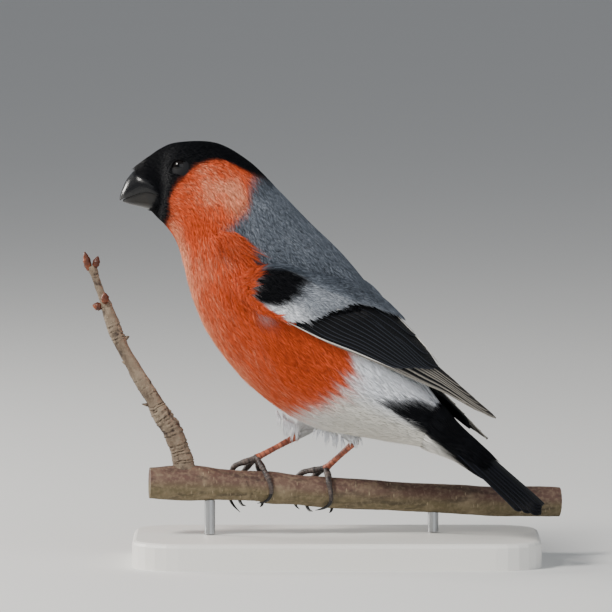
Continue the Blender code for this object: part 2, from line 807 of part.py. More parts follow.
def tail_points(along, across, lift):
    """Points on the tail: along its ridge, across it, and lifted off it."""
    along, across, lift = np.broadcast_arrays(
        np.asarray(along, float), np.asarray(across, float), np.asarray(lift, float)
    )
    row = curve_through(TAIL_RIDGE, along)
    before = curve_through(TAIL_RIDGE, along - 0.05)
    ahead = unit(curve_through(TAIL_RIDGE, along + 0.05) - before)
    up = np.stack([-ahead[..., 1], ahead[..., 0]], -1)
    fall = TAIL_SIDE_DROP * (across / TAIL_HALF_WIDTH) ** 2
    height = (lift - fall)[..., None]
    flat = row + up * height
    return np.stack([flat[..., 0], across, flat[..., 1]], -1)


def tail_slab(start, end, narrow, wide):
    """Closed slab inside the tail, widening from its root to its end."""
    top, bottom = -TAIL_CORE_DEPTH, -TAIL_CORE_DEPTH - TAIL_THICKNESS
    stations = np.linspace(start, end, 6)
    widths = np.interp(stations, (start, end), (narrow, wide))
    shares = np.linspace(-1.0, 1.0, 9)
    over = tail_points(stations[:, None], widths[:, None] * shares[None, :], top)
    under = tail_points(stations[:, None], widths[:, None] * shares[None, ::-1], bottom)
    return ring_solid(turn_body(np.concatenate([over, under], axis=1)))


def tail_feather(number, side):
    """One tail feather: number 0 lies in the middle, on top of the others."""
    shares = np.array(VANE_SHARES)
    fullness = np.array(TAIL_FULLNESS)
    end = len(TAIL_RIDGE) - 1.0 - TAIL_END_STEPS[side][number]
    along = TAIL_ROOT + (end - TAIL_ROOT) * shares
    spread = TAIL_SPREAD_AT_ROOT + (1.0 - TAIL_SPREAD_AT_ROOT) * shares
    middle = side * (TAIL_FIRST_OFFSET + TAIL_OFFSET_STEPS[side] * number) * spread
    half = TAIL_FEATHER_HALF_WIDTH * fullness
    lift = -TAIL_LAYER * number * np.ones_like(shares) - TAIL_SINK
    tilt = side * TAIL_TILT * fullness
    thick = FEATHER_THICKNESS * thickness(fullness, VANE_TIP_THICKNESS)
    edges = (middle - half, middle + half)
    lines = np.stack([along, *edges, lift - tilt, lift + tilt, thick], 1)
    return vane(lines, lambda a, b, c: turn_body(tail_points(a, b, c)))


def covert(root, tip, half_width, root_lift, tip_lift, side):
    """One long covert that lies on the root of the tail."""
    shares = np.array(VANE_SHARES)
    fullness = np.array(VANE_FULLNESS)
    along = root[0] + (tip[0] - root[0]) * shares
    middle = side * (root[1] + (tip[1] - root[1]) * shares)
    half = half_width * fullness
    lift = root_lift + (tip_lift - root_lift) * shares
    thick = COVERT_THICKNESS * thickness(fullness, COVERT_TIP_THICKNESS)
    lines = np.stack([along, middle - half, middle + half, lift, lift, thick], 1)
    return vane(lines, lambda a, b, c: turn_body(tail_points(a, b, c)))


def make_torso():
    """Torso, hollowed where the wings lie on it and the thighs enter it."""
    torso = body_piece("torso", NECK_TO_TORSO, TORSO_TO_TAIL, TORSO_STEPS, RED_PLUMAGE)
    clear_of_wings(torso)
    sockets = [mesh_object("socket", *thigh_shape(leg, GAP)) for leg in LEGS]
    combine(torso, sockets, "DIFFERENCE")
    shade(torso)


def make_tail():
    """Tail: its root with the coverts above and below it, and twelve feathers."""
    tail = body_piece("tail", TORSO_TO_TAIL, BODY_END, TAIL_ROOT_STEPS, BLACK_PLUMAGE)
    pieces = [tail_slab(*TAIL_CORE)]
    for side in (-1.0, 1.0):
        pieces.extend(tail_feather(number, side) for number in range(TAIL_PAIRS))
        pieces.extend(covert(*row, side) for row in UPPER_TAIL_COVERTS)
        pieces.extend(covert(*row, side) for row in UNDER_TAIL_COVERTS)
    feathers = [mesh_object("feather", *piece) for piece in pieces]
    combine(tail, feathers, "UNION", "MANIFOLD")
    combine(tail, [torso_room()], "DIFFERENCE", "MANIFOLD")
    clear_of_wings(tail)
    shade(tail)


@dataclass(frozen=True)
class Leg:
    """Places of one leg: hip, ankle and foot, and how its toes lie on the branch."""

    name: str
    hip: tuple
    ankle: tuple
    foot: tuple
    tuft_radius: float
    toes: dict


# Each toe: rows of distance along the branch from the foot, turn round it from the top
# towards the far side in degrees, and height of the toe's middle above the bark. The
# toe runs from the foot through the first four rows, and its claw through the rest.
RIGHT_TOES = {
    "inner": (
        (-3.6, 4, 2.2), (-6.8, 25, 0.9), (-7.9, 75, 0.75), (-8.2, 122, 0.65),
        (-7.9, 146, 0.8), (-6.9, 166, 1.6), (-5.0, 178, 3.3),
    ),
    "middle": (
        (-2.6, 30, 1.6), (-4.4, 62, 0.9), (-5.0, 102, 0.7), (-5.2, 140, 0.65),
        (-4.9, 160, 0.7), (-4.3, 178, 1.0), (-3.2, 196, 1.4),
    ),
    "outer": (
        (0.6, 34, 1.6), (1.6, 66, 0.9), (2.0, 100, 0.7), (2.0, 130, 0.65),
        (1.8, 150, 0.7), (1.5, 168, 0.9), (1.0, 184, 1.2),
    ),
    "hind": (
        (1.6, -22, 1.9), (3.2, -52, 1.0), (4.3, -80, 0.8), (4.4, -100, 0.7),
        (3.7, -120, 0.65), (2.3, -136, 0.7), (0.2, -150, 0.8),
    ),
}
LEFT_TOES = {
    "inner": (
        (-3.6, 6, 1.6), (-6.9, 18, 0.9), (-9.2, 60, 0.75), (-9.8, 108, 0.65),
        (-9.6, 130, 0.7), (-9.0, 150, 0.8), (-8.0, 168, 1.0),
    ),
    "middle": (
        (-2.6, 34, 1.5), (-4.8, 66, 0.9), (-5.6, 104, 0.7), (-5.8, 140, 0.65),
        (-5.5, 160, 0.7), (-4.9, 178, 0.9), (-4.0, 196, 1.2),
    ),
    "outer": (
        (0.6, 36, 1.5), (1.6, 68, 0.9), (2.0, 100, 0.7), (2.0, 130, 0.65),
        (1.8, 150, 0.7), (1.5, 168, 0.9), (1.0, 184, 1.2),
    ),
    "hind": (
        (0.4, -28, 1.75), (0.9, -58, 1.0), (1.4, -86, 0.8), (1.5, -108, 0.7),
        (0.8, -128, 0.65), (-0.9, -146, 0.7), (-3.2, -162, 0.9),
    ),
}
LEGS = (
    Leg("right", (-2.0, 1.6, 46.0), (-10.2, -0.6, 36.9), (-22.0, -5.8, 31.0), 4.6, RIGHT_TOES),
    Leg("left", (4.0, -13.6, 44.0), (7.4, -13.0, 36.4), (-1.2, -4.6, 27.8), 4.4, LEFT_TOES),
)
THIGH_SHARES = (0.0, 0.35, 0.7, 1.0)
THIGH_FULLNESS = (1.0, 0.92, 0.66)
THIGH_END_RADIUS = 1.7
ANKLE_RADIUS = 1.15
TARSUS_RADIUS = 0.85
TARSUS_IN_THIGH = 1.6
TARSUS_SHARES = (0.0, 0.3, 0.7, 1.0)
FOOT_RADIUS = 1.25
TOE_RADII = (0.95, 0.9, 0.8, 0.72, 0.6)
CLAW_RADII = (0.55, 0.48, 0.36, 0.1)
LEG_SIDES = 10
TOE_SIDES = 7
TOE_STEPS = 8
CLAW_STEPS = 6


def thigh_shape(leg, grow=0.0):
    """Feathered thigh: a tuft that narrows from the body to the ankle."""
    hip, ankle = np.array(leg.hip), np.array(leg.ankle)
    widths = [leg.tuft_radius * share for share in THIGH_FULLNESS] + [THIGH_END_RADIUS]
    path = [hip + (ankle - hip) * share for share in THIGH_SHARES]
    return tube(path, np.array(widths) + grow, LEG_SIDES)


def tarsus_shape(leg, grow=0.0):
    """Bare shank from inside the tuft to the foot."""
    hip, ankle, foot = np.array(leg.hip), np.array(leg.ankle), np.array(leg.foot)
    inside = ankle + unit(hip - ankle) * TARSUS_IN_THIGH
    path = [inside] + [ankle + (foot - ankle) * share for share in TARSUS_SHARES]
    radii = (ANKLE_RADIUS, ANKLE_RADIUS, TARSUS_RADIUS, TARSUS_RADIUS, TARSUS_RADIUS)
    return tube(path, np.array(radii) + grow, LEG_SIDES)


def branch_at(x):
    """Return the branch's middle point and radius at a place along X."""
    table = np.array([(*middle, radius) for middle, radius in BRANCH])
    return np.array([np.interp(x, table[:, 0], table[:, k]) for k in range(4)])


def on_branch(x, turn, height):
    """Point off the bark, at a turn in degrees from the top towards the far side."""
    middle_x, middle_y, middle_z, radius = branch_at(x)
    reach = radius + GAP + height
    angle = math.radians(turn)
    sideways, upwards = reach * math.sin(angle), reach * math.cos(angle)
    return (middle_x, middle_y + sideways, middle_z + upwards)


def toe_path(leg, toe):
    """Middle points of one toe and its claw, from the foot round the branch."""
    points = [leg.foot]
    for distance, turn, height in leg.toes[toe]:
        points.append(on_branch(leg.foot[0] + distance, turn, height))
    return np.array(points)


def toe_shape(leg, toe, grow=0.0):
    """One toe, thinner towards its end."""
    joints = len(TOE_RADII)
    places = np.linspace(0.0, joints - 1.0, TOE_STEPS)
    path = curve_through(toe_path(leg, toe), places)
    radii = np.interp(places, range(joints), TOE_RADII)
    return tube(path, radii + grow, TOE_SIDES)


def claw_shape(leg, toe):
    """Curved claw that goes on from the end of its toe round the bark."""
    first = len(TOE_RADII) - 1.0
    table = toe_path(leg, toe)
    places = np.linspace(first, len(table) - 1.0, CLAW_STEPS)
    path = curve_through(table, places)
    onward = unit(path[1] - path[0])
    path[0] += onward * GAP
    radii = np.interp(places - first, range(len(CLAW_RADII)), CLAW_RADII)
    return tube(path, radii, TOE_SIDES)


def make_legs():
    """Thighs, shanks, toes and claws of both legs."""
    for leg in LEGS:
        thigh = mesh_object("thigh_" + leg.name, *thigh_shape(leg), PALE_PLUMAGE)
        combine(thigh, [mesh_object("socket", *tarsus_shape(leg, GAP))], "DIFFERENCE")
        shade(thigh)
        tarsus = mesh_object("tarsus_" + leg.name, *tarsus_shape(leg), LEG_SKIN)
        knob = mesh_object("knob", *ball(leg.foot, FOOT_RADIUS, LEG_SIDES))
        combine(tarsus, [knob], "UNION")
        shade(tarsus)
        done = []
        for toe in leg.toes:
            label = toe + "_" + leg.name
            digit = mesh_object("toe_" + label, *toe_shape(leg, toe), LEG_SKIN)
            cutters = [
                mesh_object("cut", *ball(leg.foot, FOOT_RADIUS + GAP, LEG_SIDES)),
                mesh_object("cut", *tarsus_shape(leg, GAP)),
            ]
            cutters.extend(mesh_object("cut", *toe_shape(leg, other, GAP)) for other in done)
            combine(digit, cutters, "DIFFERENCE")
            shade(digit)
            done.append(toe)
            claw = mesh_object("claw_" + label, *claw_shape(leg, toe), CLAW_HORN)
            shade(claw)


def branch_shape(grow=0.0):
    """The cut length of branch."""
    return smooth_tube(BRANCH, BRANCH_STEPS, BRANCH_SIDES, grow)


def bud_shape(root, direction, length, radius):
    """Pointed bud that stands off the twig."""
    onward = unit(np.array(direction, float)) * length
    path = [np.array(root) + onward * share for share in BUD_SHARES]
    return tube(path, np.array(BUD_FULLNESS) * radius, BUD_SIDES)


def make_perch():
    """Branch and the side twig with its buds."""
    branch = mesh_object("perch_branch", *branch_shape(), BARK)
    shade(branch)
    twig = mesh_object("perch_twig", *smooth_tube(TWIG, TWIG_STEPS, TWIG_SIDES), TWIG_BARK)
    buds = [mesh_object("bud", *bud_shape(*bud)) for bud in BUDS]
    combine(twig, buds, "UNION")
    combine(twig, [mesh_object("cut", *branch_shape(GAP))], "DIFFERENCE")
    shade(twig)


def base_outline(inset):
    """Points round the base: straight sides and round corners."""
    length, width, _ = BASE_SIZE
    signs = ((1.0, 1.0), (-1.0, 1.0), (-1.0, -1.0), (1.0, -1.0))
    reach = BASE_CORNER_RADIUS - inset
    points = []
    for turn, (sign_x, sign_y) in enumerate(signs):
        heart_x = sign_x * (0.5 * length - BASE_CORNER_RADIUS) + STAND_MIDDLE[0]
        heart_y = sign_y * (0.5 * width - BASE_CORNER_RADIUS) + STAND_MIDDLE[1]
        for step in range(BASE_CORNER_STEPS + 1):
            angle = math.radians(90.0 * (turn + step / BASE_CORNER_STEPS))
            x, y = heart_x + reach * math.cos(angle), heart_y + reach * math.sin(angle)
            points.append((x, y))
    return points


def make_stand():
    """Flat base with a rounded edge, and two short rods up to the branch."""
    height = BASE_SIZE[2]
    bend = BASE_EDGE_ROUNDING * BASE_EDGE
    levels = (
        (0.0, 0.0),
        (0.0, height - BASE_EDGE),
        (bend, height - bend),
        (BASE_EDGE, height),
    )
    rings = [[(x, y, level) for x, y in base_outline(inset)] for inset, level in levels]
    base = mesh_object("stand_base", *ring_solid(rings), BASE_PAINT)
    shade(base, 35.0)
    for number, x in enumerate(ROD_PLACES, start=1):
        _, y, z, _ = branch_at(x)
        path = ((x, y, height + GAP), (x, y, z))
        shape = tube(path, (ROD_RADIUS, ROD_RADIUS), ROD_SIDES)
        rod = mesh_object("stand_rod_%d" % number, *shape, ROD_STEEL)
        combine(rod, [mesh_object("cut", *branch_shape(GAP))], "DIFFERENCE")
        shade(rod)


def make_neck():
    """Neck between head and torso, clear of the wings."""
    neck = body_piece("neck", HEAD_TO_NECK, NECK_TO_TORSO, NECK_STEPS, RED_PLUMAGE)
    clear_of_wings(neck)
    shade(neck)


def main():
    """Build every node of the model."""
    clear_scene()
    make_head()
    make_eyes()
    make_bill()
    make_neck()
    make_torso()
    make_tail()
    make_wings()
    make_legs()
    make_perch()
    make_stand()


main()
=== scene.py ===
import logging
import math
from dataclasses import dataclass, field
from enum import Enum
from typing import Callable, Optional, Sequence, Union

import bpy
import numpy as np
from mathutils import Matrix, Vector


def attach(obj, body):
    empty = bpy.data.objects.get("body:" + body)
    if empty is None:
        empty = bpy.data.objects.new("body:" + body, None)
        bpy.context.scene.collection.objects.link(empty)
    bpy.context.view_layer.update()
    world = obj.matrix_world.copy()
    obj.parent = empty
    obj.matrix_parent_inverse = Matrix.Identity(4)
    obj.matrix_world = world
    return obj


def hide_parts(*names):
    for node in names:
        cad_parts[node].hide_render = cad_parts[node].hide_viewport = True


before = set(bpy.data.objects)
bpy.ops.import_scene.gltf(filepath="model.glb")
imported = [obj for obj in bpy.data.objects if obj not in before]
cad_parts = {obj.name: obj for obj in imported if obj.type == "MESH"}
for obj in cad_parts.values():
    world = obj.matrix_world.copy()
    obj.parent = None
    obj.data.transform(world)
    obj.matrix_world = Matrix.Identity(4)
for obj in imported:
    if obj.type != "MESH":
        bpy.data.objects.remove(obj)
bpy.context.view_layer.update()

LOG = logging.getLogger("bullfinch")
Array = np.ndarray
Random = np.random.Generator
Place = Callable[[Array, Array, Array], Array]
Paint = Callable[[Array, Array], Array]

# Units and the turn of the body, in drawing millimetres
MM = 0.001
STAND_MIDDLE = (2.0, -6.0)
BODY_TURN = math.radians(15.0)
TURN_AXIS_X = -31.5
TURN_START = -151.0
TURN_SPAN = 46.0

# Sizes that several classes share
TUFT_PATCH = 0.003
BLADE_LIMIT = 30000
BLADE_BEND = 0.42
EYE_MIDDLE = np.array((-45.0, 8.7, 118.5))


class Side(Enum):
    """The bird's two sides; the left one faces the viewer."""

    LEFT = -1.0
    RIGHT = 1.0

    @property
    def label(self) -> str:
        """Lower-case name of the side."""
        return self.name.lower()


# Smooth curves and other sums
def curve_through(rows: Sequence, where: Array) -> Array:
    """Read a smooth curve through rows of numbers at fractional row indices.

    Each span is the cubic that passes its two rows with slopes set by the rows
    on either side.

    Args:
        rows: table with one row a knot.
        where: fractional row indices, of any shape.

    Returns:
        Values of shape where.shape + (columns,).
    """
    rows = np.asarray(rows, float)
    last = len(rows) - 1
    where = np.clip(np.asarray(where, float), 0.0, last)
    start = np.minimum(where.astype(int), last - 1)
    part = (where - start)[..., None]
    padded = np.vstack([2 * rows[0] - rows[1], rows, 2 * rows[-1] - rows[-2]])
    a, b, c, d = (padded[start + k] for k in range(4))
    bend = (2 * a - 5 * b + 4 * c - d) * part**2
    twist = (3 * b - 3 * c + d - a) * part**3
    return 0.5 * (2 * b + (c - a) * part + bend + twist)


def unit(vectors: Array) -> Array:
    """Scale vectors to length one."""
    return vectors / np.maximum(np.linalg.norm(vectors, axis=-1, keepdims=True), 1e-9)


def smooth(low: float, high: float, value: Array) -> Array:
    """Rise smoothly from 0 at low to 1 at high."""
    share = np.clip((value - low) / (high - low), 0.0, 1.0)
    return share * share * (3.0 - 2.0 * share)


def circle(count: int) -> Array:
    """Angles spread evenly round a circle."""
    return np.linspace(0.0, 2.0 * math.pi, count, endpoint=False)


def spread(*values: Array) -> Sequence[Array]:
    """The values as arrays of one shape."""
    return np.broadcast_arrays(*[np.asarray(value, float) for value in values])


def read_border(border: Sequence, where: Array) -> Array:
    """Read a border, which is rows of a place and its limit, at the given places."""
    table = np.array(border, float)
    return np.interp(where, table[:, 0], table[:, 1])


def turn_body(points: Array) -> Array:
    """Turn what lies behind the neck about the upright turning axis.

    The turn grows smoothly along the body from nothing at the neck, as an S-shaped
    share of the full angle.

    Args:
        points: drawing points in millimetres, shape (..., 3).

    Returns:
        The turned points.
    """
    x, y, z = points[..., 0], points[..., 1], points[..., 2]
    angle = BODY_TURN * smooth(0.0, 1.0, (x - z - TURN_START) / TURN_SPAN)
    reach = x - TURN_AXIS_X
    turned_x = TURN_AXIS_X + reach * np.cos(angle) + y * np.sin(angle)
    turned_y = y * np.cos(angle) - reach * np.sin(angle)
    return np.stack([turned_x, turned_y, z], -1)


def ripple(points: Array, size: float, seed: int, octaves: int = 3) -> Array:
    """Smooth random values from about -1 to 1 over space.

    A sum of sine waves in random directions, each octave half as long and half as
    strong as the one before.

    Args:
        points: places of shape (..., 3).
        size: wavelength of the longest waves.
        seed: choice of the random directions.
        octaves: how many sizes of wave are added.

    Returns:
        Values of shape points.shape[:-1].
    """
    chance = np.random.default_rng(seed)
    total = np.zeros(points.shape[:-1])
    for octave in range(octaves):
        for _ in range(5):
            way = unit(chance.normal(size=3)) * 2.0 * math.pi * 2.0**octave / size
            total += np.sin(points @ way + chance.uniform(0.0, 6.28)) * 0.4 / 2.0**octave
    return total


@dataclass(frozen=True)
class Same:
    """The same number or numbers at every place of a surface."""

    value: Union[float, tuple]

    def __call__(self, u: Array, v: Array) -> Array:
        """The value, once for each place."""
        value = np.asarray(self.value)
        return np.broadcast_to(value, (*np.shape(u), *value.shape))


# Closed meshes and how they become pieces
@dataclass
class Shell:
    """Points in drawing millimetres, the faces between them and what they carry."""

    points: Array
    faces: list[Array]
    corner_uv: Optional[Array] = None
    marks: dict[str, Array] = field(default_factory=dict)

    def volume(self) -> float:
        """Signed volume inside the faces, as a sum of pyramids with their tip at the origin.

        Returns:
            Cubic millimetres, negative where the faces point inwards.
        """
        total = 0.0
        for group in self.faces:
            first = self.points[group[:, 0]]
            for k in range(1, group.shape[1] - 1):
                second, third = self.points[group[:, k]], self.points[group[:, k + 1]]
                total += float(np.einsum("ij,ij->", first, np.cross(second, third)))
        return total / 6.0

    def outward(self) -> "Shell":
        """Turn the faces round if they point inwards.

        Returns:
            This shell.
        """
        if self.volume() < 0.0:
            if self.corner_uv is not None:
                parts, at = [], 0
                for group in self.faces:
                    block = self.corner_uv[at : at + group.size]
                    parts.append(block.reshape(*group.shape, 2)[:, ::-1].reshape(-1, 2))
                    at += group.size
                self.corner_uv = np.concatenate(parts)
            self.faces = [group[:, ::-1] for group in self.faces]
        return self


def joined(shells: Sequence[Shell]) -> Shell:
    """Put several shells together as one.

    Args:
        shells: closed shells that all carry the same marks.

    Returns:
        One shell with their points and faces side by side.
    """
    starts = np.cumsum([0] + [len(shell.points) for shell in shells])
    faces = [g + starts[i] for i, shell in enumerate(shells) for g in shell.faces]
    has_uv = all(shell.corner_uv is not None for shell in shells)
    uv = np.concatenate([shell.corner_uv for shell in shells]) if has_uv else None
    marks = {
        key: np.concatenate([shell.marks[key] for shell in shells])
        for key in shells[0].marks
    }
    return Shell(np.concatenate([shell.points for shell in shells]), faces, uv, marks)


def ring_shell(rings: Array, around: Optional[Array] = None, loop: bool = False) -> Shell:
    """Close a row of rings into a solid, flat at its two ends or joined end to end.

    Args:
        rings: points of shape (rows, around, 3).
        around: second UV coordinate of each ring point and of the first one again.
        loop: True where the first ring follows the last one.

    Returns:
        Shell of quads and of its end faces, the first UV running along the rings.
    """
    rows, count = rings.shape[:2]
    spans = rows if loop else rows - 1
    if around is None:
        around = np.linspace(0.0, 1.0, count + 1)
    i, j = np.meshgrid(np.arange(spans), np.arange(count), indexing="ij")
    onward, beside = (i + 1) % rows, (j + 1) % count
    corners = [i * count + j, i * count + beside, onward * count + beside, onward * count + j]
    faces = [np.stack(corners, -1).reshape(-1, 4)]
    u = np.stack([i, i, i + 1, i + 1], -1) / spans
    v = np.stack([around[j], around[j + 1], around[j + 1], around[j]], -1)
    uv = [np.stack([u, v], -1).reshape(-1, 2)]
    if not loop:
        first = np.arange(count)[::-1]
        faces += [first[None, :], (rows - 1) * count + first[None, ::-1]]
        uv.append(np.stack([np.zeros(count), around[first]], -1))
        uv.append(np.stack([np.ones(count), around[:count]], -1))
    return Shell(rings.reshape(-1, 3), faces, np.concatenate(uv)).outward()


def tube_rings(path: Array, radii: Array, sides: int) -> Array:
    """Round sections set square to a path.

    Each section's first direction is the one before it with the part along the path
    taken out, so that the tube doesn't twist.

    Args:
        path: middle points, shape (n, 3).
        radii: radius at each point, or one for each side, shape (n,) or (n, sides).
        sides: points round a section.

    Returns:
        Rings of shape (n, sides, 3).
    """
    along = unit(np.gradient(path, axis=0))
    guide = np.cross(along[0], (0.0, 1.0, 0.0))
    if np.linalg.norm(guide) < 0.2:
        guide = np.cross(along[0], (1.0, 0.0, 0.0))
    across = np.empty_like(path)
    for k, direction in enumerate(along):
        guide = unit(guide - direction * np.dot(guide, direction))
        across[k] = guide
    beside = np.cross(along, across)
    turns = circle(sides)
    radii = np.broadcast_to(np.asarray(radii).reshape(len(path), -1), (len(path), sides))
    round_about = (
        across[:, None, :] * np.cos(turns)[None, :, None]
        + beside[:, None, :] * np.sin(turns)[None, :, None]
    )
    return path[:, None, :] + round_about * radii[:, :, None]


def ball_shell(middle: Array, radius: float, rows: int = 24) -> Shell:
    """Ball as rings from pole to pole, each as wide as the sine of its tilt.

    Args:
        middle: centre.
        radius: its radius.
        rows: rings from pole to pole; there are twice as many sides.

    Returns:
        Closed shell.
    """
    tilt = np.linspace(0.02, math.pi - 0.02, rows)[:, None]
    turn = circle(rows * 2)[None, :]
    wide = [np.sin(tilt) * np.cos(turn), np.cos(tilt), np.sin(tilt) * np.sin(turn)]
    return ring_shell(middle + np.stack(np.broadcast_arrays(*wide), -1) * radius)


def make_piece(
    name: str, shell: Shell, finish: "Finish", stands_for: Sequence[str] = (),
    uv_name: str = "Surface", sharp_angle: Optional[float] = None,
) -> None:
    """Build a mesh object from a shell, at the origin, and fix it to the model.

    Args:
        name: the piece's name.
        shell: its points and faces.
        finish: its material.
        stands_for: solids it is shown in place of.
        uv_name: name of the UV map.
        sharp_angle: edges bent by more degrees than this are shaded sharp.
    """
    mesh = bpy.data.meshes.new(name)
    points = (shell.points - np.array((*STAND_MIDDLE, 0.0))) * MM
    loops = np.concatenate([group.ravel() for group in shell.faces])
    sizes = np.concatenate([np.full(len(g), g.shape[1]) for g in shell.faces])
    mesh.vertices.add(len(points))
    mesh.vertices.foreach_set("co", points.astype(np.float32).ravel())
    mesh.loops.add(len(loops))
    mesh.loops.foreach_set("vertex_index", loops.astype(np.int32))
    mesh.polygons.add(len(sizes))
    starts = np.concatenate([[0], np.cumsum(sizes)[:-1]])
    mesh.polygons.foreach_set("loop_start", starts.astype(np.int32))
    mesh.polygons.foreach_set("use_smooth", np.ones(len(sizes), bool))
    mesh.update(calc_edges=True)
    if shell.corner_uv is not None:
        layer = mesh.uv_layers.new(name=uv_name)
        layer.data.foreach_set("uv", shell.corner_uv.astype(np.float32).ravel())
    for key, values in shell.marks.items():
        attribute = mesh.attributes.new(key, "FLOAT_COLOR", "POINT")
        attribute.data.foreach_set("color", values.astype(np.float32).ravel())
    if sharp_angle is not None:
        mesh.set_sharp_from_angle(angle=math.radians(sharp_angle))
    mesh.validate()
    mesh.materials.append(finish.material())
    piece = bpy.data.objects.new(name, mesh)
    bpy.context.scene.collection.objects.link(piece)
    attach(piece, "root")
    if stands_for:
        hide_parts(*stands_for)


# Shader sums
Number = Union[float, "Field"]


class Field:
    """A shader value that takes part in sums like a number."""

    def __init__(self, graph: "Graph", socket: bpy.types.NodeSocket) -> None:
        """Wrap an output socket of the graph's tree."""
        self.graph = graph
        self.socket = socket

    def __add__(self, other: Number) -> "Field":
        """Sum of the two."""
        return self.graph.math("ADD", self, other)

    def __mul__(self, other: Number) -> "Field":
        """Product of the two."""
        return self.graph.math("MULTIPLY", self, other)

    __radd__ = __add__
    __rmul__ = __mul__

    def __sub__(self, other: Number) -> "Field":
        """This less the other."""
        return self.graph.math("SUBTRACT", self, other)

    def __rsub__(self, other: Number) -> "Field":
        """The other less this."""
        return self.graph.math("SUBTRACT", other, self)

    def size(self) -> "Field":
        """This without its sign."""
        return self.graph.math("ABSOLUTE", self)

    def wave(self) -> "Field":
        """Sine of this."""
        return self.graph.math("SINE", self)

    def ramp(self, low: float, high: float) -> "Field":
        """Smooth rise from 0 at low to 1 at high, or a fall where high is lower."""
        values = {"Value": self, "From Min": low, "From Max": high}
        return self.graph.add("ShaderNodeMapRange", values, interpolation_type="SMOOTHSTEP")

    def output(self, key: Union[int, str]) -> "Field":
        """Another output of the node that this one comes from."""
        return Field(self.graph, self.socket.node.outputs[key])


class Graph:
    """A new material and the nodes that make it up."""

    def __init__(self, name: str) -> None:
        """Start an empty material of that name."""
        self.material = bpy.data.materials.new(name)
        self.material.use_nodes = True
        self.tree = self.material.node_tree
        self.tree.nodes.clear()

    def add(self, kind: str, values: dict, **settings: object) -> Optional[Field]:
        """Make any node.

        Args:
            kind: node type.
            values: what its input sockets get, a Field or a constant.
            settings: the node's own settings, which are set first.

        Returns:
            Its first output, or None where it has none.
        """
        node = self.tree.nodes.new(kind)
        for key, value in settings.items():
            setattr(node, key, value)
        for key, value in values.items():
            if isinstance(value, Field):
                self.tree.links.new(value.socket, node.inputs[key])
            else:
                node.inputs[key].default_value = value
        return Field(self, node.outputs[0]) if node.outputs else None

    def math(self, operation: str, *terms: Number) -> Field:
        """One step of arithmetic."""
        return self.add("ShaderNodeMath", dict(enumerate(terms)), operation=operation)

    def mix(self, share: Number, first: object, second: object) -> Field:
        """Colour between first, where share is 0, and second, where it is 1."""
        values = {0: share, 6: first, 7: second}
        return self.add("ShaderNodeMix", values, data_type="RGBA").output(2)

    def scaled(self, vector: Field, stretch: Sequence[float]) -> Field:
        """A vector scaled along each axis."""
        values = {0: vector, 1: tuple(stretch)}
        return self.add("ShaderNodeVectorMath", values, operation="MULTIPLY")

    def position(self, stretch: Sequence[float] = (1.0, 1.0, 1.0)) -> Field:
        """Object coordinates, scaled along each axis."""
        return self.scaled(self.add("ShaderNodeTexCoord", {}).output("Object"), stretch)

    def uv(self) -> tuple[Field, Field, Field]:
        """The piece's UV map as a vector, its first number and its second."""
        vector = self.add("ShaderNodeUVMap", {}, uv_map="Surface")
        parts = self.add("ShaderNodeSeparateXYZ", {0: vector})
        return vector, parts, parts.output(1)

    def marks(self, name: str) -> tuple[Field, Field, Field, Field]:
        """The four numbers of a point attribute."""
        source = self.add("ShaderNodeAttribute", {}, attribute_name=name)
        parts = self.add("ShaderNodeSeparateColor", {0: source.output("Color")})
        return parts, parts.output(1), parts.output(2), source.output("Alpha")

    def noise(self, vector: Field, scale: float, detail: float = 3.0) -> Field:
        """Noise from 0 to 1."""
        values = {"Vector": vector, "Scale": scale, "Detail": detail}
        return self.add("ShaderNodeTexNoise", values)

    def cells(self, vector: Field, scale: float) -> Field:
        """Distance from the nearest middle in a pattern of cells."""
        values = {"Vector": vector, "Scale": scale}
        return self.add("ShaderNodeTexVoronoi", values).output("Distance")

    def bump(self, height: Field, distance: float) -> Field:
        """Normal bent by a height in metres."""
        values = {"Height": height, "Distance": distance, "Strength": 1.0}
        return self.add("ShaderNodeBump", values)

    def surface(self, colour: Field, rough: Number, **others: object) -> bpy.types.Material:
        """Finish with one Principled surface.

        Args:
            colour: its base colour.
            rough: its roughness.
            others: its other sockets by name, with _ for each space.

        Returns:
            The material.
        """
        values = {"Base Color": colour, "Roughness": rough}
        values.update({key.replace("_", " "): value for key, value in others.items()})
        shader = self.add("ShaderNodeBsdfPrincipled", values)
        self.add("ShaderNodeOutputMaterial", {"Surface": shader})
        return self.material


def tone(red: int, green: int, blue: int) -> tuple[float, float, float, float]:
    """Turn a colour as the eye reads it into linear light.

    Args:
        red, green, blue: each from 0 to 255.

    Returns:
        Red, green, blue and 1, each from 0 to 1.
    """
    scaled = [value / 255.0 for value in (red, green, blue)]
    linear = [v / 12.92 if v < 0.04045 else ((v + 0.055) / 1.055) ** 2.4 for v in scaled]
    return (*linear, 1.0)


# Finishes
@dataclass(frozen=True)
class Finish:
    """A procedural material, made once and then shared."""

    name: str

    def material(self) -> bpy.types.Material:
        """The material, built at its first use."""
        return bpy.data.materials.get(self.name) or self.build(Graph(self.name))

    def build(self, graph: Graph) -> bpy.types.Material:
        """Each kind of finish lays its own nodes."""
        raise NotImplementedError(self.name)


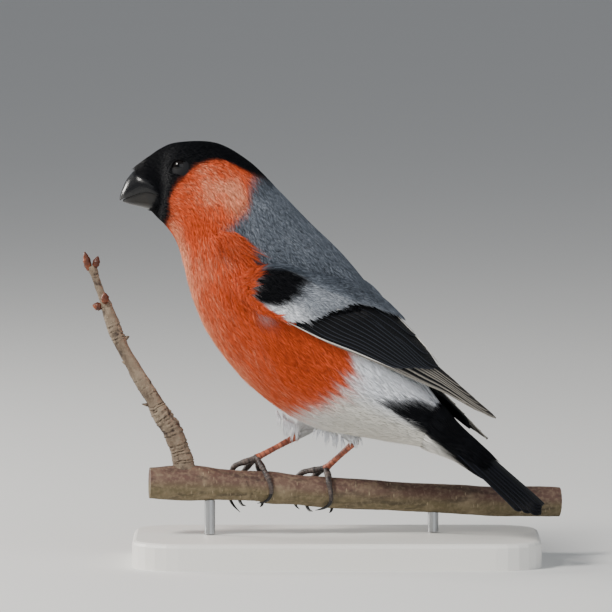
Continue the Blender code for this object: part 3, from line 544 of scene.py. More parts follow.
@dataclass(frozen=True)
class PlumageFinish(Finish):
    """Soft body plumage, coloured by the shares of each region that a point carries."""

    black: tuple = tone(5, 6, 11)
    red_deep: tuple = tone(196, 75, 38)
    red: tuple = tone(213, 86, 45)
    red_pale: tuple = tone(240, 157, 122)
    grey_deep: tuple = tone(60, 67, 76)
    grey: tuple = tone(95, 102, 112)
    grey_pale: tuple = tone(142, 149, 159)
    white: tuple = tone(243, 245, 250)
    cream: tuple = tone(230, 226, 216)

    def build(self, graph: Graph) -> bpy.types.Material:
        """Mix the regions' colours, each from deep to pale by the strand's tints.

        Args:
            graph: the new material.

        Returns:
            It, finished.
        """
        black, red, grey, warm = graph.marks("Regions")
        feather, along, barb, tint = graph.marks("Strand")
        # The tint carries the markings' painted highlights and deeper patches as well as random
        # streaks
        level = tint + (feather - 0.5) * 0.16 + (barb - 0.5) * 0.28 + (along - 0.5) * 0.14
        low, high = level.ramp(0.1, 0.5), level.ramp(0.5, 0.95)
        reds = graph.mix(high, graph.mix(low, self.red_deep, self.red), self.red_pale)
        greys = graph.mix(high, graph.mix(low, self.grey_deep, self.grey), self.grey_pale)
        colour = graph.mix(warm, self.white, self.cream)
        colour = graph.mix(grey, colour, greys)
        colour = graph.mix(red, colour, reds)
        colour = graph.mix(black, colour, self.black)
        shade = 0.9 + feather * 0.04 + barb * 0.08
        dark = graph.mix(shade, (0.0, 0.0, 0.0, 1.0), colour)
        rough = 0.72 - black * 0.2
        return graph.surface(dark, rough, Specular_IOR_Level=0.13)


@dataclass(frozen=True)
class VaneFinish(Finish):
    """A flat feather with a shaft, fine barbs and edges of another colour."""

    body: tuple = tone(7, 8, 12)
    edge: tuple = tone(24, 27, 38)
    edge_width: float = 0.06
    tip: tuple = tone(7, 8, 12)
    tip_start: float = 0.8
    gloss: float = 0.4
    barbs: float = 60.0
    shine: float = 0.2

    def build(self, graph: Graph) -> bpy.types.Material:
        """Colour the web by its place on the feather and streak it along its barbs.

        Args:
            graph: the new material.

        Returns:
            It, finished.
        """
        vector, along, across = graph.uv()
        from_shaft = (across - 0.5).size() * 2.0
        feather, _, _, _ = graph.marks("Strand")
        streak = graph.noise(graph.scaled(vector, (self.barbs, 7.0, 1.0)), 1.0)
        edge = from_shaft.ramp(1.0 - self.edge_width * 2.0, 1.0 - self.edge_width * 0.4)
        colour = graph.mix(along.ramp(self.tip_start, 1.0), self.body, self.tip)
        colour = graph.mix(edge, colour, self.edge)
        shade = 0.7 + feather * 0.35 + (streak - 0.5) * 0.5
        colour = graph.mix(shade, (0.0, 0.0, 0.0, 1.0), colour)
        line = ((along * 55.0 - from_shaft * 22.0) * 6.28).wave() * 0.25
        height = streak + line + from_shaft.ramp(0.07, 0.0) * 1.6
        normal = graph.bump(height, 0.00008)
        rough = self.gloss + streak * 0.16
        return graph.surface(colour, rough, Specular_IOR_Level=self.shine, Normal=normal)


@dataclass(frozen=True)
class HornFinish(Finish):
    """Smooth horn of the bill and claws."""

    dark: tuple = tone(8, 9, 12)
    light: tuple = tone(46, 42, 40)
    light_share: float = 0.15
    rough: float = 0.2
    shine: float = 0.38

    def build(self, graph: Graph) -> bpy.types.Material:
        """Dark horn with faint growth lines, paler in soft patches.

        Args:
            graph: the new material.

        Returns:
            It, finished.
        """
        vector, along, _ = graph.uv()
        cloud = graph.noise(graph.position(), 260.0)
        lines = graph.noise(graph.scaled(vector, (3.0, 40.0, 1.0)), 1.0)
        share = (cloud.ramp(0.4, 0.75) * self.light_share + lines * 0.06).ramp(0.0, 1.0)
        colour = graph.mix(share, self.dark, self.light)
        rough = self.rough + cloud * 0.12 + along * 0.02
        normal = graph.bump(lines + cloud, 0.00004)
        return graph.surface(colour, rough, Specular_IOR_Level=self.shine, Normal=normal)


@dataclass(frozen=True)
class EyeFinish(Finish):
    """Dark wet eye."""

    iris: tuple = tone(12, 8, 7)
    pupil: tuple = tone(2, 2, 3)

    def build(self, graph: Graph) -> bpy.types.Material:
        """Near black with a slightly brown ring round the pupil."""
        ring = (graph.uv()[1] - 0.5).size().ramp(0.36, 0.42)
        colour = graph.mix(ring, self.iris, self.pupil)
        return graph.surface(colour, 0.05, Specular_IOR_Level=0.3)


@dataclass(frozen=True)
class ScaleFinish(Finish):
    """Scaly skin of the legs and toes."""

    body: tuple = tone(122, 60, 42)
    light: tuple = tone(178, 102, 74)
    dark: tuple = tone(70, 38, 31)
    plates: float = 26.0
    joint_share: float = 0.5

    def build(self, graph: Graph) -> bpy.types.Material:
        """Plates across the leg with dark joints between them.

        Args:
            graph: the new material.

        Returns:
            It, finished.
        """
        _, along, around = graph.uv()
        step = (along * self.plates * 6.28).wave()
        cloud = graph.noise(graph.position(), 500.0)
        colour = graph.mix(cloud.ramp(0.35, 0.7), self.body, self.light)
        joint = step.ramp(0.55, 1.0)
        colour = graph.mix(joint * self.joint_share, colour, self.dark)
        cells = graph.cells(graph.position(), 1500.0)
        height = cells * 0.6 + around * 0.01 - joint * 1.5
        return graph.surface(colour, 0.42 + cloud * 0.2, Normal=graph.bump(height, 0.00012))


@dataclass(frozen=True)
class BarkFinish(Finish):
    """Bark with pale pores, dark cracks and a shadier underside."""

    top: tuple = tone(88, 64, 56)
    under: tuple = tone(98, 87, 63)
    pale: tuple = tone(160, 143, 116)
    dark: tuple = tone(38, 28, 24)
    pores: float = 300.0
    pore_stretch: tuple = (2.4, 0.8, 0.8)
    crack_stretch: tuple = (90.0, 420.0, 420.0)
    crack_share: float = 0.5
    blotch_share: float = 0.45

    def build(self, graph: Graph) -> bpy.types.Material:
        """Mix tones by painted light and shade from the top to the underside, clouds, pores that
        run round the wood and cracks along it.

        Args:
            graph: the new material.

        Returns:
            It, finished.
        """
        cloud = graph.noise(graph.position(), 120.0, 7.0)
        fine = graph.noise(graph.position(), 900.0, 4.0)
        crack = graph.noise(graph.position(self.crack_stretch), 1.0, 5.0)
        pore = graph.cells(graph.position(self.pore_stretch), self.pores)
        height_share, rings, _, _ = graph.marks("Strand")
        # Painted light and shade: the top of the wood and its underside get tones of their own by
        # how high each point lies
        colour = graph.mix(height_share.ramp(0.3, 0.7), self.under, self.top)
        colour = graph.mix(cloud.ramp(0.5, 0.8) * self.blotch_share, colour, self.pale)
        colour = graph.mix(crack.ramp(0.48, 0.34) * self.crack_share, colour, self.dark)
        spot = pore.ramp(0.2, 0.08) * cloud.ramp(0.42, 0.6)
        colour = graph.mix(spot * 0.7, colour, self.pale)
        colour = graph.mix(rings * fine.ramp(0.62, 0.36), colour, self.dark)
        colour = graph.mix(fine.ramp(0.4, 0.7) * 0.25, colour, self.pale)
        height = crack * 0.8 + cloud + spot * 0.6 + fine * 0.4
        rough, normal = 0.72 - spot * 0.1 + fine * 0.1, graph.bump(height, 0.0003)
        return graph.surface(colour, rough, Specular_IOR_Level=0.35, Normal=normal)


@dataclass(frozen=True)
class PaintFinish(Finish):
    """Satin paint on the stand's base."""

    colour: tuple = tone(226, 224, 219)

    def build(self, graph: Graph) -> bpy.types.Material:
        """Even colour with a faint orange-peel texture."""
        peel = graph.noise(graph.position(), 900.0)
        colour = graph.mix(peel * 0.06, self.colour, tone(190, 188, 182))
        return graph.surface(colour, 0.42 + peel * 0.08, Normal=graph.bump(peel, 0.00001))


@dataclass(frozen=True)
class SteelFinish(Finish):
    """Brushed steel rods."""

    colour: tuple = tone(176, 178, 180)

    def build(self, graph: Graph) -> bpy.types.Material:
        """Metal with fine lines along the rod."""
        lines = graph.noise(graph.position((3000.0, 3000.0, 60.0)), 1.0)
        colour = graph.mix(lines * 0.3, self.colour, tone(120, 122, 124))
        return graph.surface(colour, 0.26 + lines * 0.16, Metallic=1.0)


@dataclass(frozen=True)
class FloorFinish(Finish):
    """Pale matt floor."""

    def build(self, graph: Graph) -> bpy.types.Material:
        """Even pale grey."""
        cloud = graph.noise(graph.position(), 4.0)
        return graph.surface(graph.mix(cloud * 0.1, tone(222, 222, 220), tone(208, 208, 206)), 0.8)


# Cuts across the body from the face to the vent: its back (x, z), its belly (x, z), half
# its width, the share of its height where it is widest, and how square it is
BODY = (
    (-57.6, 118.7, -54.6, 105.9, 4.4, 0.50, 2.1),
    (-50.9, 123.6, -51.6, 102.5, 6.5, 0.50, 2.1),
    (-45.0, 125.6, -50.2, 101.2, 11.6, 0.48, 2.1),
    (-33.9, 125.3, -48.2, 98.8, 13.4, 0.52, 2.1),
    (-24.1, 119.9, -46.1, 95.2, 15.6, 0.52, 2.1),
    (-15.7, 111.9, -43.7, 87.7, 18.6, 0.52, 2.1),
    (-6.0, 102.3, -40.3, 77.1, 21.8, 0.52, 2.15),
    (5.1, 91.9, -33.3, 64.2, 23.4, 0.52, 2.2),
    (15.0, 79.8, -20.9, 50.7, 23.0, 0.52, 2.2),
    (23.4, 65.2, -4.0, 40.4, 19.6, 0.52, 2.2),
    (31.6, 53.1, 15.4, 37.0, 14.2, 0.52, 2.1),
    (38.1, 45.0, 33.8, 34.0, 8.0, 0.50, 2.0),
)

# Cuts of the long coverts that run from the end of the body onto the tail
TAIL_ROOT = (
    (35.6, 47.6, 31.0, 34.4, 8.8, 0.50, 2.0),
    (40.2, 42.6, 37.0, 32.2, 8.0, 0.50, 2.0),
    (44.6, 38.8, 42.0, 29.8, 7.2, 0.50, 2.0),
    (49.0, 35.0, 47.0, 26.6, 6.4, 0.50, 2.0),
    (53.0, 31.6, 51.6, 24.4, 5.6, 0.50, 2.0),
)


@dataclass(frozen=True)
class BodyForm:
    """A rounded outer shape through a row of cuts."""

    rows: tuple

    @property
    def last(self) -> float:
        """Number of the last cut."""
        return len(self.rows) - 1.0

    def place(self, station: Array, angle: Array, grow: Array) -> Array:
        """Points on the body, which runs on straight past its first and last cut.

        Args:
            station, angle: cut number with fractions, and turn from the back in radians.
            grow: distance outside the outline.

        Returns:
            Turned drawing points.
        """
        inner = np.clip(station, 0.0, self.last)
        points = self.inside(inner, angle, grow)
        over = np.abs(station - inner)
        if not np.any(over > 0.0):
            return points
        step = 0.25
        before = self.inside(np.clip(inner, step, self.last - step), angle, grow)
        over = np.broadcast_to(over, points.shape[:-1])
        return points + (points - before) * (over / step)[..., None]

    def inside(self, station: Array, angle: Array, grow: Array) -> Array:
        """Points on the body at a station and an angle from the back.

        Each cut is a rounded outline whose height and width follow powers of the
        cosine and the sine of the angle; a negative angle is the bird's left.

        Args:
            station, angle: cut number with fractions, and turn from the back in radians.
            grow: distance outside the outline.

        Returns:
            Turned drawing points.
        """
        station, angle, grow = spread(station, angle, grow)
        row = curve_through(self.rows, station)
        back, belly = row[..., 0:2], row[..., 2:4]
        heart = back + (belly - back) * row[..., 5:6]
        rise = unit(back - belly)
        power = 2.0 / row[..., 6]
        up = np.sign(np.cos(angle)) * np.abs(np.cos(angle)) ** power
        out = np.sign(np.sin(angle)) * np.abs(np.sin(angle)) ** power
        over = np.linalg.norm(back - heart, axis=-1) + grow
        under = np.linalg.norm(belly - heart, axis=-1) + grow
        reach = np.where(up > 0.0, over, under) * up
        flat = heart + rise * reach[..., None]
        wide = (row[..., 4] + grow) * out
        return turn_body(np.stack([flat[..., 0], wide, flat[..., 1]], -1))

    def unwrap(self, station: Array, angle: Array) -> Array:
        """Place of a point on the flat unwrap of the skin."""
        return np.stack([station / self.last, angle / (2.0 * math.pi) + 0.5], -1)


@dataclass(frozen=True)
class Markings:
    """Where the plumage is black, red, grey and white, and how pale it is.

    A soft patch of the painted light is the station and the angle of its middle, its reach in
    each, and its strength. A positive strength paints a highlight where the light falls, on
    the cheek, the upper side and the lit front edge of chin and breast; a negative one paints a
    deeper patch lower on the side. The borders are rows of a place and a limit, as station
    and angle or the other way round.
    """

    # Patches of painted light: a positive strength is a painted highlight, a negative one a deeper
    # patch
    glow: tuple = (
        (3.60, 80.0, 0.50, 15.0, 0.30), (4.15, 62.0, 0.42, 13.0, 0.42),
        (3.05, 62.0, 0.40, 10.0, 0.16), (4.70, 64.0, 0.30, 12.0, 0.25),
        (3.20, 150.0, 0.50, 18.0, 0.30), (4.20, 158.0, 0.70, 16.0, 0.32),
        (4.90, 160.0, 0.80, 18.0, 0.30), (5.90, 160.0, 1.00, 22.0, 0.26),
        (7.40, 158.0, 1.20, 20.0, 0.20), (5.50, 126.0, 0.35, 9.0, 0.16),
        (3.95, 118.0, 0.50, 17.0, -0.20), (4.60, 102.0, 0.40, 14.0, -0.14),
        (7.70, 93.0, 0.60, 18.0, -0.26), (8.30, 92.0, 0.50, 20.0, -0.28),
        (6.65, 98.0, 0.60, 14.0, -0.20), (4.98, 44.0, 0.30, 14.0, 0.12),
        (6.50, 30.0, 0.60, 18.0, 0.05), (5.60, 64.0, 0.40, 8.0, 0.10),
    )
    star: tuple = (7.04, 90.0, 0.17, 4.0)
    cap: tuple = (
        (0, 4.74), (17, 4.55), (25, 4.38), (29, 4.18), (33, 3.97), (36, 3.70), (38, 3.45),
        (42, 3.28), (48, 3.08), (54, 2.92), (58, 2.80), (64, 2.68), (73, 2.60), (80, 2.50),
        (87, 2.35), (93, 2.28), (100, 2.22), (106, 2.18), (115, 2.17), (124, 2.37), (137, 2.50),
        (180, 2.52),
    )
    side: tuple = (
        (4.30, 22), (4.40, 36), (4.55, 46), (4.92, 55), (5.00, 64), (5.03, 90), (5.10, 102),
        (5.13, 103), (5.25, 92), (5.42, 86), (5.68, 79), (5.92, 74), (6.22, 74), (6.80, 82),
        (7.50, 70), (8.60, 50), (9.20, 40),
    )
    pale: tuple = (
        (0, 8.80), (45, 8.60), (61, 8.60), (63, 8.78), (67, 8.95), (80, 9.03), (91, 9.05),
        (107, 9.00), (129, 8.83), (160, 8.68), (180, 8.65),
    )
    rump: tuple = (
        (9.57, 81), (9.62, 74), (9.73, 67), (9.87, 59), (9.97, 47), (10.15, 37), (10.37, 27),
        (10.67, 15), (10.90, 0), (11.0, 0),
    )
    vent: tuple = (
        (9.50, 81), (9.57, 81), (9.80, 78), (9.95, 80), (10.17, 83), (10.45, 89), (10.70, 97),
        (10.93, 105), (11.0, 108),
    )

    def tint(self, station: Array, turn: Array) -> Array:
        """How pale the plumage is, 0.5 for its middle tone.

        Soft round patches of painted highlight and of deeper tone are added to streaks,
        which are smooth random waves drawn out along the body.

        Args:
            station: cut number of each point.
            turn: its angle from the back in degrees, without its sign.

        Returns:
            One number for each point, mostly from 0 to 1.
        """
        total = np.full(np.shape(station), 0.5)
        # Add the painted highlights and the deeper patches
        for middle, heart, reach, width, strength in self.glow:
            total += strength * np.exp(
                -(((station - middle) / reach) ** 2) - ((turn - heart) / width) ** 2
            )
        waves = np.stack([station / 0.9, turn / 5.5, 0.0 * station], -1)
        return total + 0.075 * ripple(waves, 1.0, 17, 3)

    def paint(self, station: Array, angle: Array) -> Array:
        """Layers of colour at points of the body, and the tint.

        A border is a line through places on the body; a colour rises smoothly across
        it. The finish lays grey over white, red over both and black over all, so grey
        is its share of what red leaves free; under full red it is grey as well.

        Args:
            station: cut number of each point.
            angle: its angle from the back in radians, of either sign.

        Returns:
            Four shares for each point, each from 0 to 1, and then its tint.
        """
        turn = np.degrees(np.abs(angle))
        turn = np.where(turn > 180.0, 360.0 - turn, turn)
        cap = smooth(0.04, -0.04, station - read_border(self.cap, turn))
        grey = smooth(2.5, -2.5, turn - read_border(self.side, station))
        grey = grey * smooth(4.25, 4.35, station)
        strands = np.stack([station * 1.5, turn * 0.3, 0.0 * turn * station], -1)
        frayed = 0.08 * ripple(strands, 1.4, 85, 3)
        body = smooth(0.17, -0.17, station + frayed - read_border(self.pale, turn))
        above = smooth(1.5, -1.5, turn - read_border(self.vent, station))
        below = smooth(-1.5, 1.5, turn - read_border(self.rump, station))
        tail = above * below * smooth(9.5, 9.6, station)
        black = np.clip(cap + tail, 0.0, 1.0)
        warm = smooth(70.0, 100.0, turn) * smooth(8.2, 9.4, station)
        red = np.where(station < 8.4, 1.0, body) * body * (1.0 - grey * body)
        middle, heart, reach, width = self.star
        off = ((station - middle) / reach) ** 2 + ((turn - heart) / width) ** 2
        red = red * (1.0 - 0.65 * np.exp(-off))
        under = 0.02 * smooth(8.1, 7.7, station)
        grey = (grey * body + under) / (1.02 - red)
        return np.stack([black, red, grey, warm, self.tint(station, turn)], -1)


def marked(paint: Array, feather: float = 0.4) -> dict[str, Array]:
    """Marks of a smooth surface from its painted shares and tint.

    Args:
        paint: four shares and a tint for each point.
        feather: the tone it would have as a feather.

    Returns:
        The marks by name.
    """
    flat = paint.reshape(-1, 5)
    strand = np.full((len(flat), 4), feather)
    strand[:, 3] = flat[:, 4]
    return {"Regions": flat[:, :4], "Strand": strand}


@dataclass(frozen=True)
class Skin:
    """The closed skin under the coat, which carries the same markings."""

    form: BodyForm
    markings: Markings
    finish: Finish

    def depth(self, station: Array) -> Array:
        """Depth of the coat over the skin."""
        knots = (0.0, 1.0, 3.0, 5.5, 9.0, 11.0)
        return np.interp(station, knots, (0.3, 0.4, 0.5, 0.8, 1.1, 0.9))

    def place(self, station: Array, angle: Array, lift: Array) -> Array:
        """Points above the skin at a height."""
        return self.form.place(station, angle, lift - self.depth(station))

    def build(self) -> None:
        """Make the skin, which stands for head, neck and torso, as rings round the body."""
        station = np.linspace(0.0, self.form.last, 260)[:, None]
        angle = np.linspace(-math.pi, math.pi, 192, endpoint=False)[None, :]
        shell = ring_shell(self.place(station, angle, np.array(0.0)))
        shell.marks = marked(self.markings.paint(*np.broadcast_arrays(station, angle)))
        make_piece("skin", shell, self.finish, ("head", "neck", "torso"))


# The coat of small feathers
Size = Union[float, Array]


@dataclass(frozen=True)
class TuftStyle:
    """How tufts look, all of them or each: sizes in millimetres, angles in degrees."""

    length: Size
    width: Size
    rise: Size
    fan: Size
    heading: Size = 0.0
    stray: float = 2.5


def scatter(place: Place, window: Sequence[float], spacing: Callable, seed: int) -> Array:
    """Spread places evenly over a surface, closer where the spacing is small.

    The surface's area over the spacing squared is summed on a grid; an even
    two-number sequence is then read through those sums.

    Args:
        place: the surface.
        window: first and last of each of its two parameters.
        spacing: wanted distance at each place in millimetres.
        seed: start of the sequence.

    Returns:
        Pairs of parameters, shape (count, 2).
    """
    rows, columns = 260, 220
    u = np.linspace(window[0], window[1], rows)
    v = np.linspace(window[2], window[3], columns)
    grid_u, grid_v = np.meshgrid(u, v, indexing="ij")
    points = place(grid_u, grid_v, np.zeros_like(grid_u))
    step_u, step_v = np.gradient(points, axis=0), np.gradient(points, axis=1)
    area = np.linalg.norm(np.cross(step_u, step_v), axis=-1)
    weight = area / np.maximum(spacing(grid_u, grid_v), 1e-3) ** 2
    count = int(weight.sum())
    order = np.arange(count) + seed * 7919
    first, second = (order * 0.7548776662) % 1.0, (order * 0.5698402910) % 1.0
    by_row = np.cumsum(weight.sum(1)) / weight.sum()
    row = np.interp(first, by_row, np.arange(rows))
    near = np.clip(row.round().astype(int), 0, rows - 1)
    inside = np.cumsum(weight, axis=1) / np.maximum(weight.sum(1, keepdims=True), 1e-9)
    ladder = (inside + np.arange(rows)[:, None]).ravel()
    column = np.searchsorted(ladder, near + second) - near * columns
    chance = np.random.default_rng(seed)
    column = np.clip(column + chance.uniform(-0.5, 0.5, count), 0, columns - 1)
    by_u = np.interp(row, np.arange(rows), u)
    return np.stack([by_u, np.interp(column, np.arange(columns), v)], -1)


def local_frame(place: Place, u: Array, v: Array) -> tuple[Array, Array, Array, Array]:
    """Slopes of a surface by central differences, and its normal on the outer side.

    Args:
        place: the surface.
        u, v: the two parameters.

    Returns:
        The two derivatives, the unit normal on the outer side and the point.
    """
    step = 1e-3
    flat = np.zeros_like(u)
    here = place(u, v, flat)
    along = (place(u + step, v, flat) - place(u - step, v, flat)) / (2 * step)
    around = (place(u, v + step, flat) - place(u, v - step, flat)) / (2 * step)
    normal = unit(np.cross(along, around))
    outer = place(u, v, np.ones_like(u)) - here
    sense = np.sign(np.einsum("ij,ij->i", normal, outer))[:, None]
    return along, around, normal * sense, here


@dataclass(frozen=True)
class Coat:
    """Tufts of thin barbs that grow on a surface and lie along it.

    The hold is the share of a barb's colours that come from its root's place.
    """

    place: Place
    unwrap: Paint
    paint: Paint
    barbs: int
    seed: int
    hold: float = 0.5

    def grow(self, spots: Array, style: TuftStyle) -> Shell:
        """Grow one tuft at each spot.

        A barb starts on its tuft's shaft, leans away from it by its share of the fan
        and bends back half-way; its middle and its tip stand off the surface by the
        rise. Places on the surface are found by turning lengths into parameter steps
        with the surface's own first derivatives.

        Args:
            spots: parameter pairs of the roots.
            style: lengths and angles of the tufts.

        Returns:
            Shell of closed blades in order of the spots, each with six triangles.
        """
        chance = np.random.default_rng(self.seed)
        count, barbs = len(spots), self.barbs
        u, v = spots[:, 0], spots[:, 1]
        along, around, normal, here = local_frame(self.place, u, v)
        swirl = 5.0 * ripple(here, 16.0, self.seed, 2)
        stray = chance.normal(0.0, style.stray, count)
        lean = np.radians(style.heading + swirl + stray)
        ahead = unit(along)
        beside = np.cross(normal, ahead)
        way = ahead * np.cos(lean)[:, None] + beside * np.sin(lean)[:, None]
        flank = np.cross(normal, way)
        rank = np.linspace(-1.0, 1.0, barbs)[None, :] + chance.normal(0, 0.12, (count, barbs))
        fan, rise, length = [
            np.broadcast_to(size, count)[:, None]
            for size in (np.radians(style.fan), style.rise, style.length)
        ]
        fan = fan * rank
        size = length * (1.0 + chance.normal(0.0, 0.12, (count, 1)) - 0.22 * rank**2)
        size = size * chance.uniform(0.82, 1.08, (count, barbs))
        start = length * (0.18 - 0.28 * np.abs(rank))
        bent = fan * 0.35
        first, second = size * BLADE_BEND, size * (1.0 - BLADE_BEND)
        middle = start + first * np.cos(fan)
        reach = np.stack([start, middle, middle + second * np.cos(bent)], -1)
        middle = rank * 0.05 + first * np.sin(fan)
        aside = np.stack([rank * 0.05, middle, middle + second * np.sin(bent)], -1)
        steps = reach[..., None] * way[:, None, None, :]
        steps = steps + aside[..., None] * flank[:, None, None, :]
        points_u, points_v = self.parameters(u, v, along, around, steps)
        height = rise * chance.uniform(0.65, 1.25, (count, barbs))
        lift = np.stack([np.full_like(height, -0.12), height * 0.75, height], -1)
        line = self.place(points_u, points_v, lift)
        marks = self.strand_marks(chance, (points_u, points_v), (u, v))
        width = np.broadcast_to(style.width, count)
        return self.blades(line, normal, width, marks, self.unwrap(u, v))

    def pieces(
        self, name: str, spots: Array, style: TuftStyle, finish: Finish, slot: str
    ) -> None:
        """Grow tufts and make their pieces.

        Args:
            name: the coat's name.
            spots: parameter pairs of the roots.
            style: lengths and angles of the tufts.
            finish: its plumage.
            slot: not used.
        """
        coat_pieces(name, self.grow(spots, style), finish)

    def parameters(self, u: Array, v: Array, along: Array, around: Array, steps: Array) -> tuple:
        """Turn lengths on the surface into steps of its two parameters.

        Args:
            u, v: parameters of each root.
            along, around: derivatives along each.
            steps: wanted steps in space, shape (roots, barbs, 3, 3).

        Returns:
            The parameters of each point, shape (roots, barbs, 3) each.
        """
        first = np.einsum("ij,ij->i", along, along)[:, None, None]
        cross = np.einsum("ij,ij->i", along, around)[:, None, None]
        second = np.einsum("ij,ij->i", around, around)[:, None, None]
        by_u = np.einsum("ibkj,ij->ibk", steps, along)
        by_v = np.einsum("ibkj,ij->ibk", steps, around)
        whole = np.maximum(first * second - cross**2, 1e-6)
        step_u = (second * by_u - cross * by_v) / whole
        step_v = (first * by_v - cross * by_u) / whole
        return u[:, None, None] + step_u, v[:, None, None] + step_v

    def strand_marks(self, chance: Random, points: tuple, roots: tuple) -> dict[str, Array]:
        """Marks of each blade's points: its root's colours and its random tints.

        Args:
            chance: random numbers.
            points, roots: pairs of parameters of the blades' points and of the roots.

        Returns:
            Arrays of shape (roots, barbs, 3, 4) by name.
        """
        count, barbs, rows = points[0].shape
        whole = (count, barbs, rows)
        mixed = self.paint(*points) * (1.0 - self.hold)
        mixed = mixed + self.paint(*roots)[:, None, None, :] * self.hold
        feather = np.broadcast_to(chance.uniform(0, 1, (count, 1, 1)), whole)
        barb = np.broadcast_to(chance.uniform(0, 1, (count, barbs, 1)), whole)
        level = np.broadcast_to(np.array([0.0, 0.5, 1.0]), whole)
        strand = np.stack([feather, level, barb, mixed[..., 4]], -1)
        return {"Regions": mixed[..., :4], "Strand": strand}

    def blades(
        self, line: Array, normal: Array, width: Array, marks: dict, root_uv: Array
    ) -> Shell:
        """Close each line of three points into a thin blade.

        The blade starts and ends in a point; its middle is a low triangle, flat on
        the surface side.

        Args:
            line: points of shape (roots, barbs, 3, 3).
            normal: the surface's normal at each root.
            width: width of a barb at each root.
            marks: numbers for each point.
            root_uv: place of each root on the unwrap.

        Returns:
            The blades as one shell.
        """
        count, barbs = line.shape[:2]
        ahead = unit(line[:, :, 2] - line[:, :, 0])
        up = np.broadcast_to(normal[:, None, :], ahead.shape)
        flank = unit(np.cross(up, ahead))
        half = (width * 0.56)[:, None, None]
        middle = line[:, :, 1]
        ring = [middle - flank * half, middle + flank * half, middle + up * half * 0.7]
        points = np.stack([line[:, :, 0], *ring, line[:, :, 2]], 2).reshape(-1, 3)
        base = (np.arange(count * barbs) * 5)[:, None]
        sides = np.array([[0, 2, 1], [0, 3, 2], [0, 1, 3], [1, 2, 4], [2, 3, 4], [3, 1, 4]])
        faces = [(base + sides.reshape(1, -1)).reshape(-1, 3)]
        level = np.array([0, 1, 1, 1, 2])
        made = {key: value[:, :, level].reshape(-1, 4) for key, value in marks.items()}
        rank = np.linspace(-0.5, 0.5, barbs)[None, :, None] * np.ones((count, 1, 5))
        step = np.array([-0.5, 0.0, 0.0, 0.0, 0.5]) * np.ones_like(rank)
        nudge = np.array([0.0, -0.1, 0.1, 0.0, 0.0]) / barbs
        patch = np.stack([step, rank * 0.9 + nudge], -1) * TUFT_PATCH
        uv = (root_uv[:, None, None, :] + patch).reshape(-1, 2)
        return Shell(points, faces, uv[faces[0].ravel()], made).outward()


@dataclass(frozen=True)
class Band:
    """One stretch of the body's coat."""

    name: str
    start: float
    end: float
    barbs: int
    hold: float


